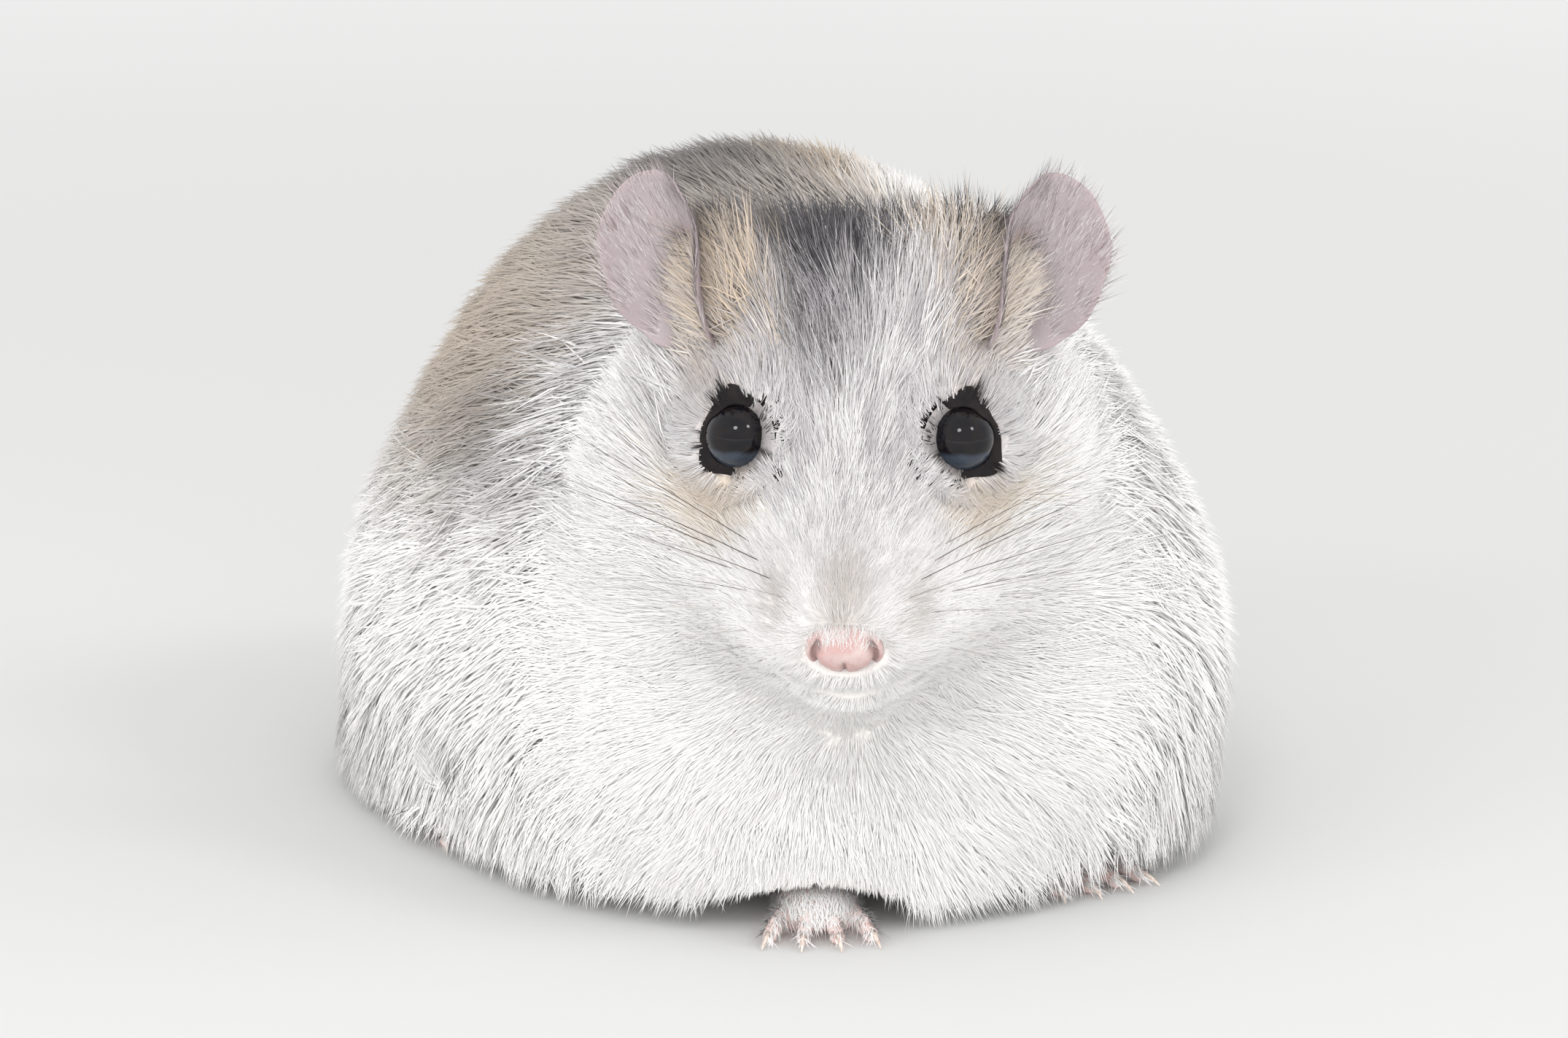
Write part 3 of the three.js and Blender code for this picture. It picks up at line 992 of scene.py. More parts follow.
# ---- The lie of the coat ----
@dataclass
class CoatMap:
    """How deep, how long and which way the coat lies at each place of the body, in millimetres."""

    head: HeadFrame
    muzzle_depth: float = 0.45
    face_depth: float = 2.3
    body_depth: float = 3.4
    muzzle_length: float = 1.7
    face_length: float = 4.8
    body_length: float = 8.8
    under_depth: float = 0.9
    at_floor: float = 0.4
    at_foot: float = 0.3

    EYE_RADIUS = 3.2
    LIFTS = ((-8.0, -41.0, 3.5), (-2.0, -40.5, 4.0), (4.0, -38.5, 4.5))
    FAN_FROM = (0.0, -21.0, -6.5)
    SWIRLS = ((13.0, 1.3, 0.22), (5.2, 4.1, 0.16))

    def from_nose(self, places: Array) -> Array:
        """How far each place is from the nose, in millimetres."""
        return np.linalg.norm(self.head.local(places) - self.head.NOSE, axis=1)

    def near_eye(self, places: Array) -> Array:
        """How far each place is from the nearer eyeball, in millimetres."""
        spans = [np.linalg.norm(places - self.head.eye(side), axis=1) / MM for side in Side]
        return np.minimum(*spans) - self.EYE_RADIUS

    def near_foot(self, places: Array) -> Array:
        """How far each place is from the nearer forefoot's middle, in millimetres."""
        return np.min([np.linalg.norm(places - foot.middle(), axis=1) / MM for foot in FEET[:2]], axis=0)

    def near_lift(self, places: Array) -> Array:
        """How far each place is from where the chest stands off the floor, in millimetres."""
        return np.min([np.linalg.norm(places / MM - middle, axis=1) for middle in self.LIFTS], axis=0)

    def _graded(self, places: Array, sizes: Triple, full: float, at_eye: float, at_lift: float) -> Array:
        """A size that grows from the muzzle over the face to the body.

        Args:
            places: where it is wanted.
            sizes: on the muzzle, on the face and on the body.
            full: how far from the nose it is the body's, in millimetres.
            at_eye: its share at the edge of an eye.
            at_lift: its share where the chest stands off the floor.

        Returns:
            The size at each place.
        """
        muzzle, face, body = sizes
        away = self.from_nose(places)
        size = between(muzzle, face, rising(3.0, 25.0, away))
        size = between(size, body, rising(full - 20.0, full, away))
        size = size * between(at_eye, 1.0, rising(0.3, 5.5, self.near_eye(places)))
        size = size * between(self.at_floor, 1.0, rising(1.0, 13.0, places[:, 2] / MM))
        size = size * between(at_lift, 1.0, rising(2.5, 7.5, self.near_lift(places)))
        return size * between(self.at_foot, 1.0, rising(5.5, 11.5, self.near_foot(places)))

    def depth(self, places: Array, normals: Array) -> Array:
        """How far the skin lies under the tips of the coat, in metres."""
        sizes = (self.muzzle_depth, self.face_depth, self.body_depth)
        size = self._graded(places, sizes, full=46.0, at_eye=0.22, at_lift=0.6)
        under = rising(-0.6, -0.9, normals[:, 2])
        return between(size, np.minimum(size, self.under_depth), under) * MM

    def length(self, places: Array) -> Array:
        """How long the hair is, in metres."""
        sizes = (self.muzzle_length, self.face_length, self.body_length)
        return self._graded(places, sizes, full=38.0, at_eye=0.36, at_lift=1.5) * MM

    def lie(self, places: Array, normals: Array) -> Array:
        """Which way the hair lies: away from the nose on the head, and back and down over the body.

        Args:
            places: where it grows.
            normals: the skin's normal at each place.

        Returns:
            A way along the skin for each place.
        """
        fan = unit(places - self.head.place(*self.FAN_FROM))
        on_face = (1.0 - rising(24.0, 50.0, self.from_nose(places)))[:, None]
        low = 1.0 - rising(3.0, 26.0, places[:, 2:3] / MM)
        beside, before = normals[:, 0:1], np.maximum(-normals[:, 1:2], 0.0)
        down = np.abs(beside) * -0.45 - 0.12 - before * 1.1 - low * 1.6
        back = unit(np.concatenate([beside * 0.1, 1.0 - low * 0.8, down], axis=1))
        flow = between(back, fan, on_face)
        for side in Side:
            apart = places - self.head.eye(side)
            close = rising(7.0, 3.6, np.linalg.norm(apart, axis=1) / MM)
            flow = between(flow, along_surface(apart, normals), close[:, None] * 0.75)
        for length, seed, strength in self.SWIRLS:
            flow = flow + waves(places, length * MM, seed) * strength
        return along_surface(flow, normals)


# ---- Feet ----
@dataclass
class Foot:
    """A foot with its toes: a palm, jointed toes with round pads, and a claw on each. Millimetres."""

    stand: FootStand
    voxel: float = 0.24
    slack: float = 0.12
    toe_slope: float = 8.0
    claw_root: float = 0.35
    claw_length: float = 2.3
    claw_width: float = 0.36
    claw_height: float = 0.42

    # each joint of a toe: its share of the toe's length, its size and its height
    JOINTS = (
        (-0.1, 1.15, 0.05), (0.22, 0.98, 0.12), (0.5, 1.08, 0.16), (0.78, 0.9, 0.0), (1.0, 1.02, -0.1)
    )
    # the pads of the sole, in shares of the foot's width and length
    PADS = ((-0.24, -0.18), (0.24, -0.18), (0.0, 0.02), (-0.2, 0.3), (0.2, 0.3))
    PAD_RADII = (1.25, 1.35, 0.75)
    CLAW_RINGS = (0.35, 0.7)

    def toe_frames(self) -> list[Matrix]:
        """The frame of each toe, with the toe along -y."""
        stand = self.stand
        frames = []
        for number in range(stand.toes):
            across = number / (stand.toes - 1) - 0.5
            back = abs(across) * 1.6 - stand.length * 0.3
            root = Vector((across * stand.width * 0.85, back, stand.TOE_RADIUS * 1.5))
            turn = Matrix.Rotation(math.radians(across * stand.spread), 4, "Z")
            slope = Matrix.Rotation(math.radians(self.toe_slope), 4, "X")
            frames.append(stand.matrix() @ Matrix.Translation(root * MM) @ turn @ slope)
        return frames

    def build(self) -> bpy.types.Object:
        """Models the foot without its claws."""
        stand = self.stand
        shape = bmesh.new()
        frame = stand.matrix()
        palm = (stand.width / 2 - self.slack, stand.length * 0.56, stand.height * 0.6 - self.slack)
        egg(shape, frame, (0, stand.length * 0.1, stand.height * 0.42), palm, 20)
        radius = stand.TOE_RADIUS - self.slack
        for toe in self.toe_frames():
            for reach, size, up in self.JOINTS:
                radii = (radius * size * 0.92, radius * 1.25, radius * size)
                egg(shape, toe, (0, -stand.toe * reach, up), radii, 14)
            radii = (radius * 0.9, radius * 1.1, radius * 0.6)
            egg(shape, toe, (0, -stand.toe * 0.62, -radius * 0.45), radii, 12)
        for across, back in self.PADS:
            centre = (across * stand.width, back * stand.length, self.PAD_RADII[2])
            egg(shape, frame, centre, self.PAD_RADII, 14)
        made = grown_together(object_from(stand.node + "_skin", shape), self.voxel, 4)
        places = places_of(made.data)
        places[:, 2] = np.maximum(places[:, 2], 0.0)
        move_to(made.data, places)
        return made

    def ahead(self, places: Array) -> Array:
        """The way from the heel to the toes, at each place."""
        return same_way(self.stand.matrix().to_3x3() @ Vector((0.0, -1.0, -0.2)), places)

    def upper(self, places: Array, normals: Array) -> Array:
        """1 on top of the foot as far as the toes' roots, less on the toes, and 0 underneath."""
        frame = self.stand.matrix()
        local = (places - np.array(frame.translation)) @ np.array(frame.to_3x3()) / MM
        ahead = -self.stand.length * 0.3
        on_foot = between(0.5, 1.0, rising(ahead - 2.5, ahead + 0.5, local[:, 1]))
        return rising(-0.1, 0.4, normals[:, 2]) * on_foot

    def claws(self, shape: bmesh.types.BMesh) -> None:
        """Adds the foot's claws to a shape."""
        long = self.claw_length * MM
        for toe in self.toe_frames():
            root = toe @ Matrix.Translation(Vector((0.0, -self.stand.toe - self.claw_root, 0.12)) * MM)
            point = Matrix.Rotation(math.radians(90.0), 4, "X")
            size = Matrix.Diagonal((self.claw_width * MM, self.claw_height * MM, long, 1.0))
            made = bmesh.ops.create_cone(
                shape, cap_ends=True, segments=8, radius1=1.0, radius2=0.12, depth=1.0,
                matrix=root @ point @ size @ Matrix.Translation((0.0, 0.0, 0.5)),
            )
            verts = set(made["verts"])
            for level in self.CLAW_RINGS:
                edges = [edge for vert in verts for edge in vert.link_edges]
                faces = [face for vert in verts for face in vert.link_faces]
                cut = bmesh.ops.bisect_plane(
                    shape,
                    geom=list(dict.fromkeys([*verts, *edges, *faces])),
                    plane_co=root @ Vector((0.0, -level * long, 0.0)),
                    plane_no=toe.to_3x3() @ Vector((0.0, 1.0, 0.0)),
                )
                verts |= {item for item in cut["geom_cut"] if isinstance(item, bmesh.types.BMVert)}
            home = root.inverted()
            for vert in verts:
                out = max(0.0, -(home @ vert.co).y / long)
                vert.co.z = max(vert.co.z + (0.35 * out - 0.85 * out**2) * MM, 0.05 * MM)


# ---- Ears ----
@dataclass
class Ear:
    """A thin, cupped ear with a rolled rim, folds and a deep pocket. Millimetres and degrees."""

    head: HeadFrame
    side: Side
    width: float = 12.6
    height: float = 16.8
    cup: float = 4.4
    thickness: float = 0.55
    squareness: float = 0.8
    lean: float = 0.18
    place: Triple = (16.3, 10.5, 9.9)
    turn: float = 38.0
    tilt: float = -14.0
    roll: float = 13.0

    # each fold: its height, its middle and width across the ear, and where it starts and is full
    FOLDS = ((0.55, -0.52, 0.13, 0.3, -0.5), (0.45, 0.30, 0.14, 0.0, -0.8))

    def stand(self) -> Matrix:
        """The ear's frame: x across it, y back, z up."""
        sign = self.side.value
        turn = Matrix.Rotation(math.radians(sign * self.turn), 4, "Z")
        tilt = Matrix.Rotation(math.radians(self.tilt), 4, "X")
        roll = Matrix.Rotation(math.radians(sign * self.roll), 4, "Y")
        place = Matrix.Translation(Vector((sign * self.place[0], *self.place[1:])) * MM)
        return self.head.matrix() @ place @ turn @ tilt @ roll

    def build(self) -> bpy.types.Object:
        """Models the ear as a ball that is pressed flat, cupped and folded."""
        shape = bmesh.new()
        upright = Matrix.Rotation(math.radians(90.0), 4, "X")
        bmesh.ops.create_uvsphere(shape, u_segments=72, v_segments=44, radius=1.0, matrix=upright)
        made = object_from(f"ear_{self.side.word}_skin", shape)
        mesh = made.data
        x, y, z = places_of(mesh).T
        outer = self.side.value * x
        out = np.sqrt(x**2 + z**2)
        low = np.maximum(-z, 0.0)
        front = y < 0
        rim = rising(0.84, 1.0, out)
        thick = np.sign(y) * np.abs(y) ** 0.4 * (self.thickness / 2) * between(1.0, 1.3, rim)
        cup = self.cup * (outer**2 * 0.85 + z**2 * 0.25 - 0.5)
        fold = sum(
            high * hump(outer, middle, width) * rising(top, bottom, z)
            for high, middle, width, top, bottom in self.FOLDS
        )
        pocket = 1.3 * hump(outer, -0.15, 0.4) * hump(z, -0.7, 0.35)
        curl = 1.3 * rising(-0.55, -1.0, outer) * rising(0.6, -0.3, z)
        ripple = 0.14 * np.sin(np.arctan2(x, z) * 7.0 + 1.0) * rising(0.6, 0.95, out)
        depth = thick - cup + np.where(front, -fold + pocket, pocket * 0.6) - curl + ripple
        broad = outer / np.sqrt(1.0 - (self.squareness * low) ** 2)
        across = (broad + self.lean * z - 0.02) * self.side.value
        leaf = np.stack([across * self.width / 2 * 0.94, depth, z * self.height / 2 * 0.97], axis=1) * MM
        frame = np.array(self.stand())
        move_to(mesh, leaf @ frame[:3, :3].T + frame[:3, 3])
        give_attribute(mesh, "edge", rising(0.82, 1.0, out))
        # marks the lower middle of the cup's front for the darker red-brown, partly painted shade
        centre = np.hypot((outer + 0.35) / 0.55, (z + 0.2) / 0.75)
        give_attribute(mesh, "hollow", np.where(front, rising(1.3, 0.2, centre), 0.0))
        return made

    def outwards(self, places: Array) -> Array:
        """The way from the ear's inner root towards its outer rim, at each place."""
        root = Vector((-self.side.value * self.width * 0.45, 0.0, -self.height * 0.6))
        return unit(places - np.array(self.stand() @ (root * MM)))

    def upwards(self, places: Array) -> Array:
        """The way up the ear's inner side, at each place of the head."""
        return same_way(self.stand().to_3x3() @ Vector((self.side.value * 0.7, -0.3, 1.0)), places)

    def aside(self, places: Array) -> Array:
        """The way across the foot of the ear, outwards and up, at each place of the head."""
        return same_way(self.stand().to_3x3() @ Vector((self.side.value * 0.8, -0.1, 0.55)), places)

    def _local(self, places: Array) -> Array:
        """Places in the ear's frame, in millimetres, with x towards its outer rim."""
        local = (places - np.array(self.stand().translation)) @ np.array(self.stand().to_3x3()) / MM
        return local * (self.side.value, 1.0, 1.0)

    def _spot(self, places: Array, centre: Triple, radii: Triple) -> Array:
        """1 in an egg of the ear's frame, and 0 outside it."""
        return rising(1.15, 0.7, np.linalg.norm((self._local(places) - centre) / radii, axis=1))

    def before_root(self, places: Array, normals: Array) -> Array:
        """1 on the head in front of the ear's root, and 0 further off."""
        return self._spot(places, (0.0, -3.2, -6.8), (6.5, 3.4, 3.4))

    def beside_root(self, places: Array, normals: Array) -> Array:
        """1 on the head along the inner side of the ear's root, and 0 further off."""
        return self._spot(places, (-5.9, 1.8, -1.6), (2.8, 3.8, 5.0))

    def inside(self, places: Array, normals: Array) -> Array:
        """1 in the cup of the ear and on its inner edge, less on its back, and 0 on its outer rim."""
        local = self._local(places)
        rim = np.hypot(local[:, 0] / (self.width * 0.5), local[:, 2] / (self.height * 0.5))
        faces_front = -(normals @ np.array(self.stand().to_3x3())[:, 1])
        inner = rising(-0.28, -0.42, local[:, 0] / self.width)
        front = between(0.45, 1.0, rising(-0.1, 0.2, faces_front))
        return np.maximum(rising(0.95, 0.82, rim), inner) * front


# ---- Nose, tail and lids ----
@dataclass
class Nose:
    """The bare nose pad with its two comma-shaped nostrils, and the split lip under it. Millimetres."""

    head: HeadFrame
    half_width: float = 3.25
    front: float = -18.8
    height: float = -8.6
    voxel: float = 0.14

    # the wings, the split lip and the lip's foot: each one's middle from the pad's front, and its radii
    PAIRS = (
        ((2.1, 2.1, -0.1), (1.3, 1.6, 1.8), 32),
        ((0.75, 3.0, -2.6), (0.85, 1.4, 1.3), 24),
        ((1.2, 3.9, -4.3), (1.3, 1.4, 0.9), 24),
    )

    def build(self) -> bpy.types.Object:
        """Models the nose pad and the lip."""
        shape = bmesh.new()
        frame = self.head.matrix()
        egg(shape, frame, (0, self.front + 1.9, self.height), (self.half_width, 2.0, 2.3), 48)
        egg(shape, frame, (0, self.front + 3.6, self.height), (2.5, 3.2, 2.1))
        for side in Side:
            for (out, back, up), radii, segments in self.PAIRS:
                centre = (side.value * out, self.front + back, self.height + up)
                egg(shape, frame, centre, radii, segments)
        made = grown_together(object_from("nose_skin", shape), self.voxel, 5)
        self._carve(made.data)
        return made

    def _carve(self, mesh: bpy.types.Mesh) -> None:
        """Sinks the nostrils and the cleft, and marks them, with a band along the pad's underside, for
        painted shade.
        """
        places = places_of(mesh)
        x, y, z = self.head.local(places).T
        z = z - self.height
        out = np.abs(x)
        ring = np.hypot((out - 1.2) / 1.4, (z + 0.15) / 1.55)
        comma = hump(ring, 1.0, 0.24) * rising(0.25, 0.8, out - 1.2 - 0.25 * z)
        comma *= rising(self.front + 3.4, self.front + 1.8, y)
        cleft = hump(x, 0.0, 0.22) * rising(0.3, -0.8, z)
        move_to(mesh, places + self.head.axes[:, 1] * (comma * 0.75 + cleft * 0.5)[:, None] * MM)
        # painted shade in the nostrils, the cleft and the band under the pad, where shade falls on the nose
        below = rising(-1.0, -1.9, z) * rising(-3.4, -2.2, z)
        give_attribute(mesh, "flush", np.clip(comma * 1.1 + cleft * 0.5 + below * 0.55, 0, 1))

    def upwards(self, places: Array) -> Array:
        """The way up and back from the nose, at each place."""
        return same_way(self.head.axes @ np.array([0.0, 0.6, 0.8]), places)

    def upper_edge(self, places: Array, normals: Array) -> Array:
        """1 along the top of the nose pad, and 0 on its face."""
        local = self.head.local(places)
        return rising(0.6, 1.5, local[:, 2] - self.height + 0.12 * local[:, 0] ** 2)


@dataclass
class Tail:
    """The short tail: a tapering stub with faint rings, which lies down behind the rump. Millimetres."""

    start: Triple = (-0.2, 41.6, 17.0)
    end: Triple = (1.3, 55.6, 11.0)
    root: float = 2.6
    tip: float = 0.75
    ring_height: float = 0.05
    rings: float = 6.0
    voxel: float = 0.25

    def build(self) -> bpy.types.Object:
        """Models the tail."""
        shape = bmesh.new()
        start, end = Vector(self.start) * MM, Vector(self.end) * MM
        turn = (end - start).to_track_quat("Z", "Y").to_matrix().to_4x4()
        bmesh.ops.create_cone(
            shape, cap_ends=True, segments=20, radius1=self.root * MM, radius2=self.tip * MM,
            depth=(end - start).length, matrix=Matrix.Translation((start + end) / 2) @ turn,
        )
        ball(shape, Matrix.Translation(end) @ turn @ Matrix.Scale(self.tip * MM, 4), 16)
        made = grown_together(object_from("tail_skin", shape), self.voxel, 3)
        places = places_of(made.data)
        along = (places - np.array(start)) @ np.array((end - start).normalized()) / MM
        rings = np.sin(along * self.rings) * self.ring_height * MM
        move_to(made.data, places + places_of(made.data, "normal") * rings[:, None])
        give_attribute(made.data, "flush", np.zeros(len(places)))
        return made

    def along(self, places: Array) -> Array:
        """The way from the tail's root to its tip, at each place."""
        return same_way(np.array(self.end) - np.array(self.start), places)


@dataclass
class Eye:
    """An eyeball and the dark lid round it, which is drawn out into a peak and two corners. Millimetres."""

    head: HeadFrame
    side: Side
    radius: float = 2.75
    lid_thickness: float = 0.12
    lid_lift: float = 0.2
    lid_reach: float = 2.6
    margin: float = 0.25
    slack: float = 0.05

    SECTION = 0.1
    PEAK = np.array([0.0, 0.675, 0.738])
    FORWARD = np.array([0.0, -0.738, 0.675])
    RAY_FROM, RAY_LENGTH = 6.0, 12.0
    # each bump round the eye: its height, and its middle and width in degrees
    OPENING = 76.0, ((32.0, 350, 36), (-14.0, 48, 22), (6.0, 250, 40), (-8.0, 100, 30), (-16.0, 165, 32))
    OUTLINE = 2.95, (
        (1.35, 79, 22), (0.25, 112, 20), (0.2, 0, 25), (1.05, 222, 22), (0.3, 270, 22), (1.05, 318, 22)
    )

    def axes(self) -> Array:
        """The lid's axes as columns: outwards across the face, up to the lid's peak, and forwards."""
        out = np.array([float(self.side.value), 0.0, 0.0])
        return self.head.axes @ np.stack([out, self.PEAK, self.FORWARD], axis=1)

    @staticmethod
    def _bumpy(around: Array, base: float, bumps: Sequence[Triple]) -> Array:
        """A size that has soft bumps round the eye."""
        size = np.full(np.shape(around), base)
        for height, middle, width in bumps:
            apart = np.degrees(np.angle(np.exp(1j * (around - math.radians(middle)))))
            size = size + height * hump(apart, 0.0, width)
        return size

    def opening(self, around: Array) -> Array:
        """How far from straight forwards the ball is bare, in radians: furthest at its outer side."""
        return np.radians(self._bumpy(around, *self.OPENING))

    def outline(self, around: Array) -> Array:
        """How far the dark lid reaches from the eye's middle, seen from before: a peak and two corners."""
        return self._bumpy(around, *self.OUTLINE)

    def _polar(self, places: Array) -> tuple[Array, Array, Array, Array]:
        """Places as seen from the ball's middle: the way, the distance in millimetres, and two angles."""
        offset = (places - self.head.eye(self.side)) @ self.axes() / MM
        span = np.linalg.norm(offset, axis=1)
        way = offset / span[:, None]
        return way, span, np.arctan2(way[:, 1], way[:, 0]), np.arccos(np.clip(way[:, 2], -1.0, 1.0))

    def dark(self, places: Array, beyond: float) -> Array:
        """1 on the dark lid and 0 from some millimetres beyond its outline."""
        way, span, around, _ = self._polar(places)
        reach = np.hypot(way[:, 0], way[:, 1]) * span
        edge = self.outline(around) + beyond
        return rising(edge, edge - 0.4, reach) * (span < self.radius + self.lid_reach)

    def clear(self, places: Array) -> Array:
        """0 over the opening and along both edges of the lid, and 1 elsewhere."""
        _, span, around, angle = self._polar(places)
        edge = self.opening(around) + self.margin / self.radius
        off_ball = rising(self.radius + 0.6, self.radius + 0.9, span)
        free = np.maximum(rising(edge, edge + 0.06, angle), off_ball)
        return free * (1.0 - self.dark(places, 0.2) + self.dark(places, -0.4))

    def open_socket(self, mesh: bpy.types.Mesh) -> None:
        """Opens the skin over the ball and sinks it behind it."""
        places = places_of(mesh)
        way, span, around, angle = self._polar(places)
        chosen = (span < self.radius + 2.0) & (angle < self.opening(around) + 0.06)
        sunk = way[chosen] * (span[chosen] - self.radius + 0.8)[:, None]
        places[chosen] -= sunk @ self.axes().T * MM
        move_to(mesh, places)

    def ball(self) -> bpy.types.Object:
        """Models the eyeball, with the clear bulge of its front."""
        shape = bmesh.new()
        bmesh.ops.create_uvsphere(shape, u_segments=48, v_segments=32, radius=self.radius * MM)
        made = object_from(f"eyeball_{self.side.word}", shape)
        places = places_of(made.data)
        out = unit(places) @ np.array([0.0, 0.0, 1.0])
        places *= (1.0 + 0.02 * rising(0.75, 1.0, out))[:, None]
        move_to(made.data, places @ self.axes().T + self.head.eye(self.side))
        return made

    def rim(self, skin: bpy.types.Object) -> bpy.types.Object:
        """Models the lid as a soft band, from the edge of the opening out over the skin to the outline.

        Args:
            skin: the body's skin.

        Returns:
            The lid.
        """
        tree = BVHTree.FromObject(skin, bpy.context.evaluated_depsgraph_get())
        axes, middle = self.axes(), Vector(self.head.eye(self.side))

        def found(start: Array, way: Array) -> Optional[float]:
            """How far the skin is from a start along a way, both in the lid's axes, in millimetres."""
            place, reach = middle + Vector(axes @ start) * MM, self.RAY_LENGTH * MM
            distance = tree.ray_cast(place, Vector(axes @ way), reach)[3]
            return None if distance is None else distance / MM

        shape = bmesh.new()
        section = bmesh.ops.create_circle(
            shape, segments=12, radius=self.SECTION,
            matrix=Matrix.Translation((1.0, 0.0, 0.0)) @ Matrix.Rotation(math.radians(90.0), 4, "X"),
        )
        edges = list({edge for vert in section["verts"] for edge in vert.link_edges})
        bmesh.ops.spin(
            shape, geom=section["verts"] + edges, cent=(0, 0, 0), axis=(0, 0, 1),
            angle=2 * math.pi, steps=80, use_merge=True,
        )
        bmesh.ops.remove_doubles(shape, verts=shape.verts, dist=1e-6)
        made = object_from(f"lid_{self.side.word}", shape)
        places = places_of(made.data)
        around = np.arctan2(places[:, 1], places[:, 0])
        share = (np.linalg.norm(places[:, :2], axis=1) - 1.0) / self.SECTION * 0.5 + 0.5
        height = places[:, 2] / self.SECTION
        circle = np.stack([np.cos(around), np.sin(around), np.zeros(len(around))], axis=1)
        ahead = np.array([0.0, 0.0, 1.0])
        angle = self.opening(around)[:, None]
        closest = self.radius + self.slack
        inner = (circle * np.sin(angle) + ahead * np.cos(angle)) * closest
        for row, reach in enumerate(self.outline(around)):
            drop = found(circle[row] * reach + ahead * self.RAY_FROM, -ahead)
            outer = circle[row] * reach + ahead * (self.RAY_FROM - drop if drop is not None else 0.0)
            place = between(inner[row], outer, share[row])
            way, span = unit(place), np.linalg.norm(place)
            under = found(way * (span + self.lid_reach), -way)
            if under is not None:
                span = max(span, span + self.lid_reach - under + self.lid_lift)
            places[row] = way * (max(span, closest) + self.lid_thickness * height[row])
        move_to(made.data, places @ axes.T * MM + self.head.eye(self.side))
        with_modifiers(made, [("SMOOTH", {"factor": 0.5, "iterations": 1})])
        give_attribute(made.data, "flush", np.zeros(len(places)))
        return outward(made)


# ---- The skin ----
@dataclass
class Skin:
    """The bare body under the coat, as one piece from the nose to the tail."""

    head: HeadFrame
    coat: CoatMap
    eyes: Sequence[Eye]
    rough_voxel: float = 0.62
    voxel: float = 0.54
    swell: float = 0.5
    steps: int = 7
    lowest: float = 0.3
    nose_depth: float = 1.3
    mouth_depth: float = 0.8

    FLESH = ("trunk", "neck", "head", "foreleg_right", "foreleg_left", "hindleg_right", "hindleg_left")
    FILLING = ("nose", "eye_right", "eye_left")

    def body(self) -> bpy.types.Object:
        """Models the body: the solids grown together, smoothed, and drawn in by the coat's depth."""
        shape = bmesh.new()
        for node in (*self.FLESH, *self.FILLING):
            shape.from_mesh(bpy.data.objects[node].data)
        bmesh.ops.remove_doubles(shape, verts=shape.verts, dist=1e-6)
        shape.normal_update()
        for vert in shape.verts:
            vert.co += vert.normal * self.swell * MM
        made = grown_together(object_from("body_skin", shape), self.rough_voxel)
        self._smooth(made, 70, self.coat.from_nose, 22.0, 40.0)
        self._smooth(made, 6, self.coat.from_nose, 5.0, 10.0)
        self._draw_in(made)
        return self._add_face(made)

    def _draw_in(self, owner: bpy.types.Object) -> None:
        """Draws the skin in by the coat's depth in small steps, so that its edges stay round."""
        mesh = owner.data
        sunk = self.coat.depth(places_of(mesh), places_of(mesh, "normal")) + self.swell * MM
        for _ in range(self.steps):
            mesh = owner.data
            move_to(mesh, places_of(mesh) - places_of(mesh, "normal") * (sunk / self.steps)[:, None])
            self._smooth(owner, 2, self.coat.from_nose, 5.0, 10.0)

    def _add_face(self, owner: bpy.types.Object) -> bpy.types.Object:
        """Adds the lids' mounds, the chin and the lips, and opens the sockets and the mouth."""
        shape = bmesh.new()
        shape.from_mesh(owner.data)
        for eye in self.eyes:
            size = Matrix.Scale((eye.radius + eye.margin) * MM, 4)
            ball(shape, Matrix.Translation(Vector(self.head.eye(eye.side))) @ size, 40)
        frame = self.head.matrix()
        egg(shape, frame, (0.0, -12.0, -16.8), (3.3, 3.4, 2.5))
        for side in Side:
            egg(shape, frame, (side.value * 2.6, -14.2, -12.6), (3.0, 3.1, 2.9))
        made = object_from("body_skin", shape)
        bpy.data.objects.remove(owner)
        grown_together(made, self.voxel)
        self._smooth(made, 4, self.coat.near_eye, 1.0, 3.0)
        for eye in self.eyes:
            eye.open_socket(made.data)
        self._sink_nose(made.data)
        self._cut_mouth(made.data)
        places = places_of(made.data)
        places[:, 2] = np.maximum(places[:, 2], self.lowest * MM)
        move_to(made.data, places)
        return made

    def _sink_nose(self, mesh: bpy.types.Mesh) -> None:
        """Sinks the skin behind the nose pad."""
        places = places_of(mesh)
        offset = self.head.local(places) - self.head.NOSE - (0.0, 1.0, 0.0)
        near = rising(1.2, 0.7, np.linalg.norm(offset / (3.1, 4.0, 2.1), axis=1))
        move_to(mesh, places + self.head.axes[:, 1] * (near * self.nose_depth * MM)[:, None])

    def _cut_mouth(self, mesh: bpy.types.Mesh) -> None:
        """Presses in the line of the mouth, which curves back under the lips."""
        places = places_of(mesh)
        x, y, z = self.head.local(places).T
        line = -15.6 + 0.05 * x**2 - 0.35 * (y + 13.5)
        groove = hump(z, line, 0.55) * rising(6.5, 4.0, np.abs(x)) * rising(-6.0, -9.0, y)
        move_to(mesh, places - places_of(mesh, "normal") * (groove * self.mouth_depth * MM)[:, None])

    @staticmethod
    def _smooth(
        owner: bpy.types.Object, times: int, span: Callable[[Array], Array], low: float, high: float
    ) -> None:
        """Smooths an object where a span is over a limit.

        Args:
            owner: the object.
            times: how often.
            span: a number for each place.
            low: the span under which nothing moves.
            high: the span over which everything does.
        """
        weights = rising(low, high, span(places_of(owner.data)))
        group = owner.vertex_groups.new(name="loose")
        for level in range(1, 9):
            chosen = np.nonzero(np.round(weights * 8) == level)[0]
            group.add(chosen.tolist(), level / 8, "REPLACE")
        with_modifiers(owner, [("SMOOTH", {"factor": 0.5, "iterations": times, "vertex_group": "loose"})])
        owner.vertex_groups.clear()


